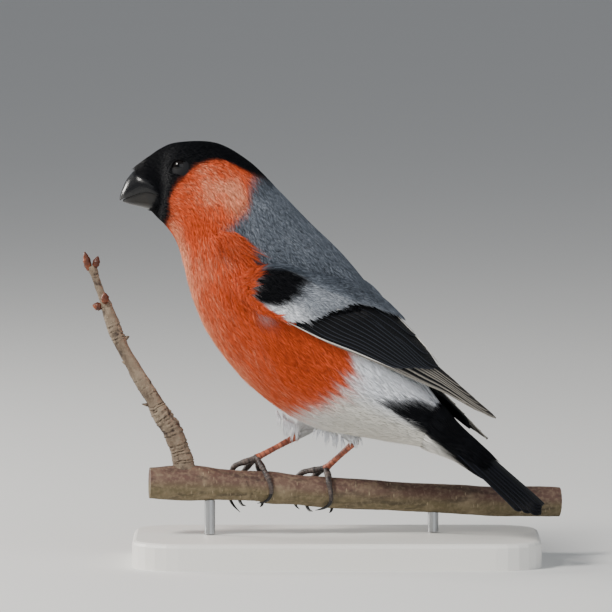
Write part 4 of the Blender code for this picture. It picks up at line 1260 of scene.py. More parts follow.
@dataclass(frozen=True)
class BodyCoat:
    """The coat over head and body, in pieces from the face to the vent.

    The sizes are rows of length, width, rise and fan at the knots along the body.
    """

    skin: Skin
    bare_radius: float = 2.4
    knots: tuple = (0.0, 0.8, 2.0, 3.5, 5.0, 8.0, 9.5, 11.0)
    sizes: tuple = (
        (1.3, 1.6, 2.6, 3.8, 4.8, 6.2, 7.2, 7.0),
        (0.13, 0.14, 0.16, 0.18, 0.20, 0.23, 0.25, 0.26),
        (0.20, 0.22, 0.26, 0.30, 0.36, 0.44, 0.36, 0.34),
        (14.0, 13.0, 12.0, 11.0, 11.0, 12.0, 14.0, 12.0),
    )
    bands: tuple = (
        Band("face", 0.0, 2.2, 8, 0.15),
        Band("crown", 2.2, 3.9, 9, 0.2),
        Band("nape", 3.9, 5.2, 10, 0.35),
        Band("breast", 5.2, 6.6, 11, 0.45),
        Band("side", 6.6, 8.2, 11, 0.45),
        Band("belly", 8.2, 12.0, 11, 0.12),
    )

    def coat(self, barbs: int, seed: int, hold: float, paint: Optional[Paint] = None) -> Coat:
        """A coat on the skin, painted with the markings unless another paint is given."""
        paint = paint or self.skin.markings.paint
        return Coat(self.skin.place, self.skin.form.unwrap, paint, barbs, seed, hold)

    def spacing(self, station: Array, angle: Array) -> Array:
        """Distance between tufts, wider where a folded wing covers them.

        Args:
            station, angle: places on the skin.

        Returns:
            Millimetres at each place.
        """
        turn = np.degrees(np.abs(angle))
        knots = (0.0, 1.0, 3.0, 5.0, 7.0, 9.0, 11.0)
        free = np.interp(station, knots, (0.50, 0.55, 0.66, 0.82, 0.92, 0.98, 0.92))
        low = np.interp(station, (6.7, 7.6, 8.65, 9.8), (86.0, 74.0, 54.0, 16.0))
        high = np.interp(station, (6.4, 7.1, 8.1, 8.6), (84.0, 60.0, 20.0, 2.0))
        under = (station > 6.9) & (turn < low) & (turn > high)
        return np.where(under, 3.2, free)

    def style(self, station: Array, angle: Array) -> TuftStyle:
        """Lengths and angles of the tufts, which are shorter and flatter on the mantle.

        Args:
            station, angle: places of the roots on the skin.

        Returns:
            The style at each place.
        """
        length, width, rise, fan = [np.interp(station, self.knots, row) for row in self.sizes]
        mantle = smooth(4.4, 4.8, station) * smooth(9.0, 8.0, station)
        mantle = mantle * smooth(82.0, 70.0, np.degrees(np.abs(angle)))
        length, width = length * (1.0 - 0.38 * mantle), width * (1.0 - 0.12 * mantle)
        return TuftStyle(length, width, rise * (1.0 - 0.3 * mantle), fan + 4.0 * mantle)

    def over_eye(self, points: Array, radius: float) -> Array:
        """True for points within a distance of an eye's middle."""
        off = np.hypot(points[..., 0] - EYE_MIDDLE[0], points[..., 2] - EYE_MIDDLE[2])
        return (np.abs(points[..., 1]) > 5.0) & (off < radius)

    def body(self) -> None:
        """Grow the coat band by band, bare round the eyes."""
        window = (0.1, self.skin.form.last - 0.05, -math.pi, math.pi)
        spots = scatter(self.skin.place, window, self.spacing, 3)
        roots = self.skin.place(spots[:, 0], spots[:, 1], np.full(len(spots), 0.5))
        spots = spots[~self.over_eye(roots, self.bare_radius)]
        spots = spots[np.argsort(spots[:, 0], kind="stable")]
        for number, band in enumerate(self.bands):
            chosen = spots[(spots[:, 0] >= band.start) & (spots[:, 0] < band.end)]
            coat = self.coat(band.barbs, 11 + number, band.hold)
            shell = coat.grow(chosen, self.style(chosen[:, 0], chosen[:, 1]))
            covered = self.over_eye(shell.points.reshape(-1, 5, 3), self.bare_radius - 0.15)
            shell = kept_blades(shell, ~covered.any(1))
            coat_pieces(f"coat_{band.name}", shell, self.skin.finish)

    def bristles(self) -> None:
        """Grow short black bristles forwards over the base of the bill."""
        window = (0.02, 0.5, -math.pi, math.pi)
        spots = scatter(self.skin.place, window, Same(0.42), 23)
        style = TuftStyle(2.3, 0.11, 0.35, 15.0, 180.0, 8.0)
        coat = self.coat(6, 29, 0.5)
        coat.pieces("coat_bristles", spots, style, self.skin.finish, "body_plumage")

    def breast_edge(self) -> None:
        """Grow the loose breast tufts that hang over the bend of each wing.

        Their roots lie along a border, whose rows are its station, its angle and the
        tufts' heading in degrees.
        """
        border = (
            (5.15, 101, 34), (5.25, 93, 32), (5.42, 87, 28), (5.68, 80, 22), (5.92, 77, 16),
            (6.22, 79, 10), (6.45, 85, 5), (6.60, 89, 2), (6.77, 91, 0), (6.95, 92, -4),
        )
        chance = np.random.default_rng(37)
        count = 560
        spots = curve_through(border, chance.uniform(0.0, len(border) - 1.0, count))
        spots[:, 0] -= chance.uniform(0.02, 0.45, count)
        side = np.where(np.arange(count) % 2, 1.0, -1.0)
        spots[:, 1] = np.radians(spots[:, 1] + chance.uniform(-2.0, 6.0, count)) * side
        length, lift = chance.uniform(4.2, 7.8, count), chance.uniform(1.1, 3.2, count)
        style = TuftStyle(length, 0.14, lift, 9.0, -spots[:, 2] * side, 11.0)
        coat = self.coat(8, 43, 0.9, Same((0.0, 1.0, 0.0, 0.0, 0.5)))
        spots = spots[:, :2]
        coat.pieces("coat_breast_edge", spots, style, self.skin.finish, "body_plumage")

    def paler(self, station: Array, angle: Array) -> Array:
        """The markings' layers with a paler tint."""
        paint = self.skin.markings.paint(station, angle)
        return paint + np.array((0.0, 0.0, 0.0, 0.0, 0.2))

    def loose(self) -> None:
        """Grow sparse long pale barbs over the breast and the belly."""
        window = (4.6, 10.2, -math.pi, math.pi)
        spots = scatter(self.skin.place, window, Same(1.55), 57)
        spots = spots[np.abs(spots[:, 1]) > math.radians(84.0)]
        chance = np.random.default_rng(59)
        length = chance.uniform(5.0, 9.0, len(spots))
        rise = chance.uniform(0.45, 0.9, len(spots))
        style = TuftStyle(length, 0.09, rise, 13.0, 0.0, 13.0)
        coat = self.coat(4, 83, 0.6, self.paler)
        coat.pieces("coat_loose", spots, style, self.skin.finish, "body_plumage")

    def build(self) -> None:
        """Make every piece of the body's coat."""
        self.body()
        self.bristles()
        self.breast_edge()
        self.loose()


def kept_blades(shell: Shell, keep: Array) -> Shell:
    """Keep some of the blades of a coat, whose faces all follow the first one's.

    Args:
        shell: blades of five points and six triangles each.
        keep: True for each blade that stays.

    Returns:
        Shell of the kept blades.
    """
    count = len(keep)
    uv = shell.corner_uv.reshape(count, 18, 2)[keep].reshape(-1, 2)
    points = shell.points.reshape(count, 5, 3)[keep].reshape(-1, 3)
    shift = (np.arange(keep.sum()) * 5)[:, None]
    faces = (shift + shell.faces[0].reshape(count, 18)[:1]).reshape(-1, 3)
    marks = {k: m.reshape(count, 5, 4)[keep].reshape(-1, 4) for k, m in shell.marks.items()}
    return Shell(points, [faces], uv, marks)


def coat_pieces(name: str, shell: Shell, finish: Finish) -> None:
    """Make a coat's pieces, each small enough for the model.

    Args:
        name: the coat's name.
        shell: its blades.
        finish: its plumage.
    """
    blades = len(shell.points) // 5
    parts = math.ceil(blades / BLADE_LIMIT)
    for part in range(parts):
        keep = (np.arange(blades) * parts) // blades == part
        label = name if parts == 1 else f"{name}_{part + 1}"
        make_piece(label, kept_blades(shell, keep), finish, (), "OFBake")


# Folded wings
WING = np.array((
    (-18.6, 24.4, 80.3, -16.9, 23.8, 86.7, 0.4, 1.6),
    (-13.3, 25.0, 76.6, -9.7, 23.0, 87.9, 0.8, 1.9),
    (-4.6, 24.7, 73.3, -1.0, 20.8, 86.1, 1.1, 2.0),
    (4.3, 23.2, 68.9, 9.6, 14.4, 83.7, 1.8, 2.0),
    (14.1, 19.6, 64.6, 17.3, 6.0, 79.3, 2.2, 1.9),
    (23.4, 14.4, 59.9, 23.6, 2.9, 73.1, 1.8, 1.7),
    (31.4, 9.6, 55.6, 30.3, 2.2, 65.9, 1.0, 1.4),
    (38.4, 7.0, 52.2, 35.3, 2.0, 59.8, 0.5, 1.1),
    (46.0, 5.4, 47.8, 44.7, 2.8, 52.1, 0.2, 0.8),
    (53.4, 4.4, 43.9, 53.4, 3.4, 44.9, 0.0, 0.5),
))


@dataclass(frozen=True)
class Tier:
    """A row of wing feathers from its first to its last one."""

    name: str
    roots: Sequence
    tips: Sequence
    count: int
    half_width: float
    root_lift: float
    tip_lift: float
    tilt: float
    point: float
    finish: VaneFinish
    climb: float = 0.0


@dataclass(frozen=True)
class Wing:
    """A folded wing: a thin core under tiers of overlapping feathers."""

    side: Side
    droop: float = math.radians(6.0)
    pivot: tuple = (-16.0, 84.0)

    def place(self, along: Array, across: Array, lift: Array) -> Array:
        """Points on the folded wing.

        Its lower and upper edges are smooth curves; between them the face bulges as a
        parabola, and the lift is measured along the face's normal.

        Args:
            along: station from the bend to the tip.
            across: share from the lower to the upper edge.
            lift: height off the face.

        Returns:
            Turned drawing points.
        """
        along, across, lift = spread(along, across, lift)
        row = curve_through(WING, along)
        step = curve_through(WING, along + 0.05) - curve_through(WING, along - 0.05)
        lower, upper = row[..., 0:3], row[..., 3:6]
        share = across[..., None]
        onward = step[..., 0:3] * (1.0 - share) + step[..., 3:6] * share
        out = unit(np.cross(onward, upper - lower))
        out = out * np.where(out[..., 1:2] < 0.0, -1.0, 1.0)
        rise = row[..., 6:7] * 4.0 * share * (1.0 - share)
        return self.set(lower + (upper - lower) * share + out * (rise + lift[..., None]))

    def set(self, points: Array) -> Array:
        """Put wing points on their side; the right wing droops about its shoulder.

        Args:
            points: points of a wing on the right.

        Returns:
            Turned drawing points.
        """
        points = points.copy()
        if self.side is Side.LEFT:
            points[..., 1] *= -1.0
        else:
            c, s = math.cos(self.droop), math.sin(self.droop)
            x, z = points[..., 0] - self.pivot[0], points[..., 2] - self.pivot[1]
            points[..., 0] = self.pivot[0] + x * c + z * s
            points[..., 2] = self.pivot[1] + z * c - x * s
        return turn_body(points)

    def unwrap(self, along: Array, across: Array) -> Array:
        """Place of a point on the flat unwrap of the wing."""
        return np.stack([along / 10.0 + 0.05, across * 0.6 + 0.2], -1)

    def width(self, along: Array) -> Array:
        """Width of the folded wing at a station."""
        row = curve_through(WING, along)
        return np.linalg.norm(row[..., 3:6] - row[..., 0:3], axis=-1)

    def core(self) -> Shell:
        """Thin slab that the feathers lie on, with both faces sunk below the wing's own.

        Returns:
            Closed shell.
        """
        along = np.linspace(0.15, 8.2, 60)[:, None]
        across = np.linspace(0.06, 0.94, 14)[None, :]
        depth = curve_through(WING, along)[..., 7]
        outer = self.place(along, across, -0.25)
        inner = self.place(along, across[:, ::-1], -depth)
        shell = ring_shell(np.concatenate([outer, inner], axis=1))
        shell.marks["Strand"] = np.full((len(shell.points), 4), 0.4)
        return shell

    def feather(self, tier: Tier, rank: float, chance: Random) -> Shell:
        """One feather of a tier.

        Its root and its tip are read off the tier's two curves at its rank. Its middle
        runs straight between them, and its width is the outline's share of the tier's,
        cut off just outside the wing's two edges.

        Args:
            tier: the tier it belongs to.
            rank: its place in the tier, from 0 to 1.
            chance: random numbers.

        Returns:
            Closed vane.
        """
        steps = len(tier.roots) - 1.0
        root = curve_through(tier.roots, np.array([rank * steps]))[0]
        tip = curve_through(tier.tips, np.array([rank * (len(tier.tips) - 1.0)]))[0]
        tip = tip + chance.normal(0.0, 0.012, 2)
        shares = 1.0 - (1.0 - np.linspace(0.0, 1.0, 22)) ** 1.3
        along = root[0] + (tip[0] - root[0]) * shares
        middle = root[1] + (tip[1] - root[1]) * shares
        half = tier.half_width * vane_outline(shares, tier.point)
        width = np.maximum(self.width(along), 1.2)
        half = half / width
        low = np.maximum(middle - half, -0.45 / width)
        high = np.minimum(middle + half, 1.0 + 0.45 / width)
        lift = tier.root_lift + (tier.tip_lift - tier.root_lift) * shares + tier.climb * rank
        return vane_shell(along, low, high, lift, tier.tilt, self.place, chance)


def vane_outline(shares: Array, point: float) -> Array:
    """Width along a feather: a narrow root, long sides and a tip rounded by a power.

    Args:
        shares: places from the root to the tip.
        point: where the tip's rounding starts.

    Returns:
        Share of the full width at each place.
    """
    rise = 0.45 + 0.55 * smooth(0.0, 0.35, shares)
    tail = np.clip((shares - point) / (1.0 - point), 0.0, 1.0)
    return rise * np.sqrt(np.maximum(1.0 - tail**2.4, 0.0004))


def vane_shell(
    along: Array, low: Array, high: Array, lift: Array, tilt: float, place: Place, chance: Random
) -> Shell:
    """Closed vane between a low and a high edge.

    Its upper face is arched over the shaft and its lower face lies a vane's thickness
    below; the low edge is raised by the tilt and the high edge tucked down by it.

    Args:
        along: station of each row.
        low, high: edges of each row.
        lift: height of the shaft.
        tilt: height of the low edge over the high one, halved.
        place: the surface that it lies on.
        chance: random numbers for its tint.

    Returns:
        Shell with the UV along and across the vane.
    """
    columns = 9
    share = np.linspace(0.0, 1.0, columns)[None, :]
    across = low[:, None] + (high - low)[:, None] * share
    arch = 0.09 * (1.0 - (2.0 * share - 1.0) ** 2)
    height = lift[:, None] + tilt * (1.0 - 2.0 * share) + arch
    top = place(along[:, None], across, height)
    bottom = place(along[:, None], across[:, ::-1], height[:, ::-1] - 0.22)
    rings = np.concatenate([top, bottom], axis=1)
    flat = np.concatenate([share[0], share[0, ::-1], share[0, :1]])
    shell = ring_shell(rings, flat)
    tint = np.array([chance.uniform(), chance.uniform(), chance.uniform(), 1.0])
    shell.marks["Strand"] = np.broadcast_to(tint, (len(shell.points), 4)).copy()
    return shell


FLIGHT = VaneFinish("flight_vane", edge=tone(58, 62, 71), edge_width=0.06)
PRIMARY = VaneFinish(
    "primary_vane", body=tone(9, 10, 14), edge=tone(150, 145, 136), edge_width=0.18,
    tip=tone(52, 47, 44), tip_start=0.6, gloss=0.5,
)
BAR = VaneFinish(
    "bar_vane", body=tone(120, 124, 130), edge=tone(206, 206, 206), edge_width=0.5,
    tip=tone(200, 202, 204), tip_start=0.5, gloss=0.72, barbs=90.0,
)
EDGE_LINE = VaneFinish(
    "edge_line", body=tone(240, 236, 228), edge=tone(244, 240, 232), tip=tone(170, 164, 158),
    tip_start=0.75, gloss=0.6,
)
TAIL = VaneFinish(
    "tail_vane", body=tone(5, 6, 10), edge=tone(15, 17, 26), gloss=0.36, shine=0.13,
)

WING_TIERS = (
    Tier("primaries", ((2.2, 0.04), (3.4, 0.30)),
         ((7.9, 0.12), (8.75, 0.22), (9.0, 0.5), (8.6, 0.62), (8.15, 0.72), (7.7, 0.8)),
         8, 1.9, -0.3, 0.15, 0.25, 0.62, PRIMARY, 0.25),
    Tier("secondaries", ((2.0, 0.12), (3.6, 0.66)), ((5.3, 0.10), (5.8, 0.26), (6.55, 0.56)),
         11, 2.2, -0.2, 0.3, 0.34, 0.78, FLIGHT, 0.4),
    Tier("tertials", ((3.4, 0.62), (3.6, 0.86)), ((6.75, 0.74), (5.6, 0.95)),
         3, 2.9, 0.0, 0.85, 0.35, 0.7, FLIGHT),
    Tier("greater_coverts", ((0.1, 0.22), (2.4, 0.98)),
         ((1.25, 0.10), (1.95, 0.10), (2.4, 0.20), (2.7, 0.34), (2.95, 0.50), (3.2, 0.66),
          (3.4, 0.82)),
         10, 2.3, 0.1, 0.9, 0.25, 0.72, BAR),
    Tier("median_coverts", ((0.05, 0.40), (0.9, 0.92)),
         ((0.95, 0.24), (1.7, 0.34), (1.95, 0.62), (2.0, 0.88)),
         8, 2.0, 0.1, 1.05, 0.2, 0.66, FLIGHT),
)


@dataclass(frozen=True)
class Wings:
    """Both folded wings, each with fine pale lines along its longest feathers.

    A line is its first and last station, its share across and its height.
    """

    lines: tuple = ((1.2, 5.4, -0.012, 0.46), (4.75, 6.9, 0.955, 0.75))
    slot: str = "wing_plumage"

    def line(self, wing: Wing, start: float, end: float, across: float, lift: float) -> Shell:
        """Pale outer edge of a long feather, as a thin rib along the wing.

        Args:
            wing: the wing it lies on.
            start, end: its first and last station.
            across, lift: its share across the wing and its height.

        Returns:
            Closed shell.
        """
        along = np.linspace(start, end, 60)
        path = wing.place(along, across + 0.0 * along, lift + 0.0 * along)
        share = np.linspace(0.0, 1.0, 60)
        radii = 0.18 * np.sqrt(np.clip(4.0 * share * (1.0 - share), 0.05, 1.0))
        shell = ring_shell(tube_rings(path, radii, 8))
        shell.marks["Strand"] = np.full((len(shell.points), 4), 0.5)
        return shell

    def build(self) -> None:
        """Make each wing's tiers, one piece a tier, over its core."""
        for side in Side:
            wing, label = Wing(side), side.label
            chance = np.random.default_rng(31)
            core, node = wing.core(), (f"wing_{label}",)
            make_piece(f"wing_core_{label}", core, FLIGHT, node)
            for tier in WING_TIERS:
                ranks = np.linspace(0, 1, tier.count)
                shell = joined([wing.feather(tier, rank, chance) for rank in ranks])
                name = f"{tier.name}_{label}"
                make_piece(name, shell, tier.finish, sharp_angle=50.0)
            shell = joined([self.line(wing, *line) for line in self.lines])
            make_piece(f"wing_lines_{label}", shell, EDGE_LINE)


@dataclass(frozen=True)
class WingCoat:
    """Soft small coverts on the front of a folded wing and what hangs over its top.

    Borders are rows of a station and a share across, but the end of the black patch is
    rows of a share and a station.
    """

    wing: Wing
    finish: Finish
    patch_end: tuple = ((0.20, 1.25), (0.29, 1.70), (0.42, 1.80), (0.61, 2.00), (1.05, 2.06))
    patch_foot: tuple = ((0.08, 0.21), (0.40, 0.06), (0.92, 0.15), (1.38, 0.24), (1.70, 0.29))
    bar_foot: tuple = (
        (0.10, 0.16), (0.26, 0.08), (1.22, 0.03), (1.96, 0.03), (2.28, 0.08), (2.48, 0.14),
        (2.66, 0.22), (2.86, 0.33), (3.04, 0.47), (3.22, 0.59), (3.42, 0.70), (3.52, 0.79),
        (3.60, 1.30),
    )
    hem: tuple = (
        (0.00, 0.95), (0.26, 1.06), (1.14, 1.07), (1.90, 1.02), (2.06, 0.95), (2.44, 0.85),
        (2.84, 0.78), (3.26, 0.75), (3.84, 0.77), (4.18, 0.80), (4.66, 0.87), (5.10, 1.00),
        (5.20, 1.20),
    )
    step: float = 0.42
    fold: float = 1.5

    def place(self, along: Array, across: Array, lift: Array) -> Array:
        """Points over the wing's feathers, higher on the black patch.

        Past the wing's bend and past its upper edge the surface folds round towards
        the body, as an arc about a line one fold radius below the edge.

        Args:
            along: station, below 0 past the bend.
            across: share across, above 1 past the upper edge.
            lift: height over the feathers.

        Returns:
            Turned drawing points.
        """
        along, across, lift = np.broadcast_arrays(along, across, lift)
        base = 1.05 + 0.3 * smooth(2.3, 1.6, along) * smooth(0.1, 0.4, across)
        base = base + 0.1 * smooth(-0.05, 0.15, across - read_border(self.hem, along))
        near_u, near_v = np.maximum(along, 0.0), np.minimum(across, 1.0)
        top = self.wing.place(near_u, near_v, lift + base)
        if not np.any((along < 0.0) | (across > 1.0)):
            return top
        flat = self.wing.place(near_u, near_v, 0.0 * lift)
        normal = unit(self.wing.place(near_u, near_v, 0.0 * lift + 1.0) - flat)
        forward = unit(flat - self.wing.place(near_u + 0.1, near_v, 0.0 * lift))
        upward = unit(flat - self.wing.place(near_u, near_v - 0.05, 0.0 * lift))
        for way, excess in (
            (forward, np.maximum(-along, 0.0) * 9.5),
            (upward, np.maximum(across - 1.0, 0.0) * self.wing.width(near_u)),
        ):
            turn = np.minimum(excess / self.fold, 2.6)
            reach = (self.fold + lift + base)
            top = top + way * (reach * np.sin(turn))[..., None]
            top = top - normal * (reach * (1.0 - np.cos(turn)))[..., None]
        return top

    def paint(self, along: Array, across: Array) -> Array:
        """Shares of the regions and the tint.

        Each border is moved by small waves so that its barbs interlock.

        Args:
            along, across: station on the wing and share across it.

        Returns:
            Black, red, grey, warm and tint for each point.
        """
        along, across = np.broadcast_arrays(along, across)
        waves = np.stack([along * 1.6, across * 9.0, 0.0 * along], -1)
        along_moved = along + 0.05 * ripple(waves, 0.8, 71, 2)
        above_foot = smooth(-0.015, 0.015, across - read_border(self.patch_foot, along_moved))
        before_end = smooth(0.04, -0.04, along_moved - read_border(self.patch_end, across))
        under_hem = smooth(0.015, -0.015, across - read_border(self.hem, along_moved))
        black = above_foot * before_end * under_hem
        slope = (along - 1.7) * 0.42 + (across - 0.12) * 1.25
        grey = 1.0 - under_hem * (1.0 - 0.82 * smooth(0.0, 0.75, slope))
        grey = np.maximum(grey, smooth(0.86, 0.94, across) * smooth(1.9, 1.4, along))
        edge = np.exp(-(((across - read_border(self.hem, along) - 0.03) / 0.05) ** 2))
        edge = edge * (1.0 - under_hem) * smooth(1.6, 2.8, along)
        tint = 0.5 + 0.10 * ripple(waves, 1.0, 73, 3) + 0.22 * edge
        red = self.front(along_moved, across)
        high = smooth(0.80, 0.90, across) * smooth(2.2, 1.6, along)
        streaks = np.stack([along * 0.8, across * 30.0, 0.0 * along], -1)
        tint = tint + 0.12 * ripple(streaks, 1.0, 79, 2) * under_hem
        tint = tint + 0.30 * under_hem * (1.0 - red) * (1.0 - high)
        tint = tint - 0.35 * high * smooth(1.2, 1.05, across)
        black = black * (1.0 - red)
        red = red / np.maximum(1.0 - black, 0.01)
        return np.stack([black, red, grey, np.zeros_like(black), tint], -1)

    def front(self, along: Array, across: Array) -> Array:
        """Share of red breast plumage, which laps over the wing's bend and front edge.

        Args:
            along, across: station on the wing and share across it.

        Returns:
            1 within a few millimetres of those edges and 0 elsewhere.
        """
        ahead = along * 9.5
        lower = across * self.wing.width(np.maximum(along, 0.0))
        limit = 2.2 * smooth(2.1, 0.8, along)
        bend, edge = smooth(2.8, 2.2, ahead), smooth(0.35, -0.35, lower - limit)
        return np.maximum(bend, edge * smooth(2.1, 1.9, along))

    def lap(self) -> None:
        """Grow the loose red tufts that lap over the bend and the front edge."""
        spots = scatter(self.place, (-0.34, 2.0, 0.0, 1.2), Same(0.46), 61)
        along, across = spots[:, 0], spots[:, 1]
        lower = across * self.wing.width(np.maximum(along, 0.0))
        spots = spots[(along < 0.16) | (lower < 1.3 * smooth(2.0, 0.8, along))]
        chance = np.random.default_rng(67)
        count = len(spots)
        length, rise = chance.uniform(1.8, 4.2, count), chance.uniform(0.4, 1.2, count)
        heading = self.wing.side.value * (10.0 * smooth(0.6, 0.1, spots[:, 1]) - 4.0)
        style = TuftStyle(length, 0.13, rise, 9.0, heading, 14.0)
        red = Same((0.0, 1.0, 0.0, 0.0, 0.45))
        coat = Coat(self.place, self.wing.unwrap, red, 6, 73, 1.0)
        name = f"coat_lap_{self.wing.side.label}"
        coat.pieces(name, spots, style, self.finish, "wing_plumage")

    def covered(self, spots: Array, step: float) -> Array:
        """True for spots whose tufts, one step long, end inside the soft coverts.

        Args:
            spots: parameter pairs of the roots.
            step: a tuft's length in stations.

        Returns:
            True or False for each spot.
        """
        along, across = spots[:, 0] + step, spots[:, 1]
        soft = across > read_border(self.bar_foot, along)
        return soft | (across > read_border(self.hem, along))

    def build(self) -> None:
        """Grow the coverts of one wing."""
        spots = scatter(self.place, (-0.34, 5.0, 0.0, 1.32), Same(0.72), 53)
        spots = spots[self.covered(spots, self.step * 0.55)]
        inside = smooth(0.1, -0.1, spots[:, 1] - read_border(self.hem, spots[:, 0]))
        length = np.where(self.covered(spots, self.step * 1.1), 4.4 - 0.4 * inside, 2.4)
        heading = (9.0 * inside + 2.0) * self.wing.side.value
        style = TuftStyle(length, 0.19, 0.45 - 0.15 * inside, 9.0, heading, 4.0)
        coat = Coat(self.place, self.wing.unwrap, self.paint, 9, 59, 0.3)
        name = f"coat_wing_{self.wing.side.label}"
        coat.pieces(name, spots, style, self.finish, "wing_plumage")
        self.lap()


# Tail
TAIL_RIDGE = (
    (30.0, 50.0), (36.6, 44.7), (43.1, 39.3), (54.9, 29.4), (62.7, 23.0), (67.0, 19.2),
    (71.3, 15.4),
)


@dataclass(frozen=True)
class TailFan:
    """The closed tail: six pairs of feathers, the first in the middle and on top.

    A feather ends that many stations before the ridge does, and its step is its
    distance from the one before.
    """

    left_ends: tuple = (0.95, 0.90, 0.80, 0.66, 1.04, 1.48)
    right_ends: tuple = (1.00, 1.06, 1.14, 1.24, 1.36, 1.48)
    left_step: float = 0.94
    right_step: float = 0.95
    root: float = 0.9
    half_width: float = 9.0
    side_drop: float = 5.2

    def place(self, along: Array, across: Array, lift: Array) -> Array:
        """Points on the tail, which falls away from its ridge as a parabola.

        Args:
            along: station on the ridge.
            across: distance from the ridge to the right.
            lift: height off the tail.

        Returns:
            Turned drawing points.
        """
        along, across, lift = spread(along, across, lift)
        row = curve_through(TAIL_RIDGE, along)
        step = curve_through(TAIL_RIDGE, along + 0.05) - curve_through(TAIL_RIDGE, along - 0.05)
        ahead = unit(step)
        up = np.stack([-ahead[..., 1], ahead[..., 0]], -1)
        fall = self.side_drop * (across / self.half_width) ** 2
        flat = row + up * (lift - fall)[..., None]
        return turn_body(np.stack([flat[..., 0], across, flat[..., 1]], -1))

    def feather(self, number: int, side: Side, chance: Random) -> Shell:
        """One tail feather.

        Its middle leaves the ridge by its number of steps and spreads towards the tip;
        its width is the outline's share of the full one.

        Args:
            number: its place from the middle.
            side: the side that it is on.
            chance: random numbers.

        Returns:
            Closed vane.
        """
        left = side is Side.LEFT
        ends = self.left_ends if left else self.right_ends
        step = self.left_step if left else self.right_step
        shares = 1.0 - (1.0 - np.linspace(0.0, 1.0, 24)) ** 1.3
        end = len(TAIL_RIDGE) - 1.0 - ends[number]
        along = self.root + (end - self.root) * shares
        middle = side.value * (1.3 + step * number) * (0.7 + 0.3 * shares)
        half = side.value * 2.2 * vane_outline(shares, 0.88)
        lift = np.full_like(shares, -0.28 * number - 0.3)
        return vane_shell(along, middle - half, middle + half, lift, -0.14, self.place, chance)

    def build(self) -> None:
        """Make the tail as one piece, its outer feathers first."""
        chance = np.random.default_rng(41)
        shell = joined([self.feather(n, s, chance) for n in range(5, -1, -1) for s in Side])
        node = ("tail",)
        make_piece("tail_feathers", shell, TAIL, node, sharp_angle=50.0)


@dataclass(frozen=True)
class TailCoverts:
    """Long coverts from the end of the body onto the tail, black above and white below.

    The border between the two is rows of a cut and an angle in degrees.
    """

    finish: Finish
    form: BodyForm = BodyForm(TAIL_ROOT)
    border: tuple = (
        (0.0, 100.0), (0.5, 112.0), (1.0, 128.0), (1.6, 150.0), (2.0, 176.0), (2.2, 200.0),
    )

    def place(self, station: Array, angle: Array, lift: Array) -> Array:
        """Points over the coverts' inner shape."""
        sunk = 0.1 + 0.45 * smooth(0.0, 1.2, np.asarray(station, float))
        return self.form.place(station, angle, lift - sunk)

    def paint(self, station: Array, angle: Array) -> Array:
        """Black above the border and warm white below it.

        Args:
            station: cut number of each point.
            angle: its angle from the back in radians.

        Returns:
            Four shares for each point, and then its tint.
        """
        station, angle = np.broadcast_arrays(station, angle)
        limit = read_border(self.border, station)
        black = smooth(2.5, -2.5, np.degrees(np.abs(angle)) - limit)
        zero = np.zeros_like(black)
        return np.stack([black, zero, zero, zero + 0.8, zero + 0.5], -1)

    def build(self) -> None:
        """Make the inner shape and grow the coverts on it."""
        last, slot = self.form.last, "tail_plumage"
        station = np.linspace(0.0, last, 60)[:, None]
        angle = np.linspace(-math.pi, math.pi, 96, endpoint=False)[None, :]
        shrink = -1.6 * smooth(last - 1.4, last, station) * np.ones_like(angle)
        shell = ring_shell(self.place(station, angle, shrink - 0.3))
        shell.marks = marked(self.paint(station, angle))
        make_piece("tail_root", shell, self.finish)
        window = (-0.25, last - 0.9, -math.pi, math.pi)
        spots = scatter(self.place, window, Same(0.95), 67)
        end = smooth(last - 2.0, last - 0.9, spots[:, 0])
        style = TuftStyle(6.6 - 2.0 * end, 0.25, 0.42 - 0.3 * end, 8.0, 0.0, 3.0)
        coat = Coat(self.place, self.form.unwrap, self.paint, 10, 83, 0.4)
        coat.pieces("coat_tail", spots, style, self.finish, slot)


# Bill and eyes
UPPER_BILL = (
    (-52.4, 114.8, -49.9, 109.0, 6.7), (-55.6, 116.5, -52.6, 110.3, 6.3),
    (-58.4, 116.9, -55.0, 110.8, 5.7), (-59.9, 115.6, -57.4, 110.2, 4.9),
    (-61.2, 113.8, -59.5, 109.4, 4.0), (-62.2, 111.6, -61.2, 108.8, 2.9),
    (-62.8, 109.8, -62.2, 108.4, 1.7), (-63.1, 108.3, -62.9, 107.9, 0.6),
)
LOWER_BILL = (
    (-51.0, 105.2, -49.9, 108.9, 6.2), (-53.4, 105.2, -52.6, 110.2, 5.8),
    (-54.9, 105.5, -55.0, 110.7, 5.2), (-57.2, 106.1, -57.3, 110.1, 4.3),
    (-59.4, 106.6, -59.4, 109.3, 3.3), (-61.0, 107.1, -60.9, 108.7, 2.1),
    (-62.1, 107.5, -62.0, 108.2, 0.7),
)


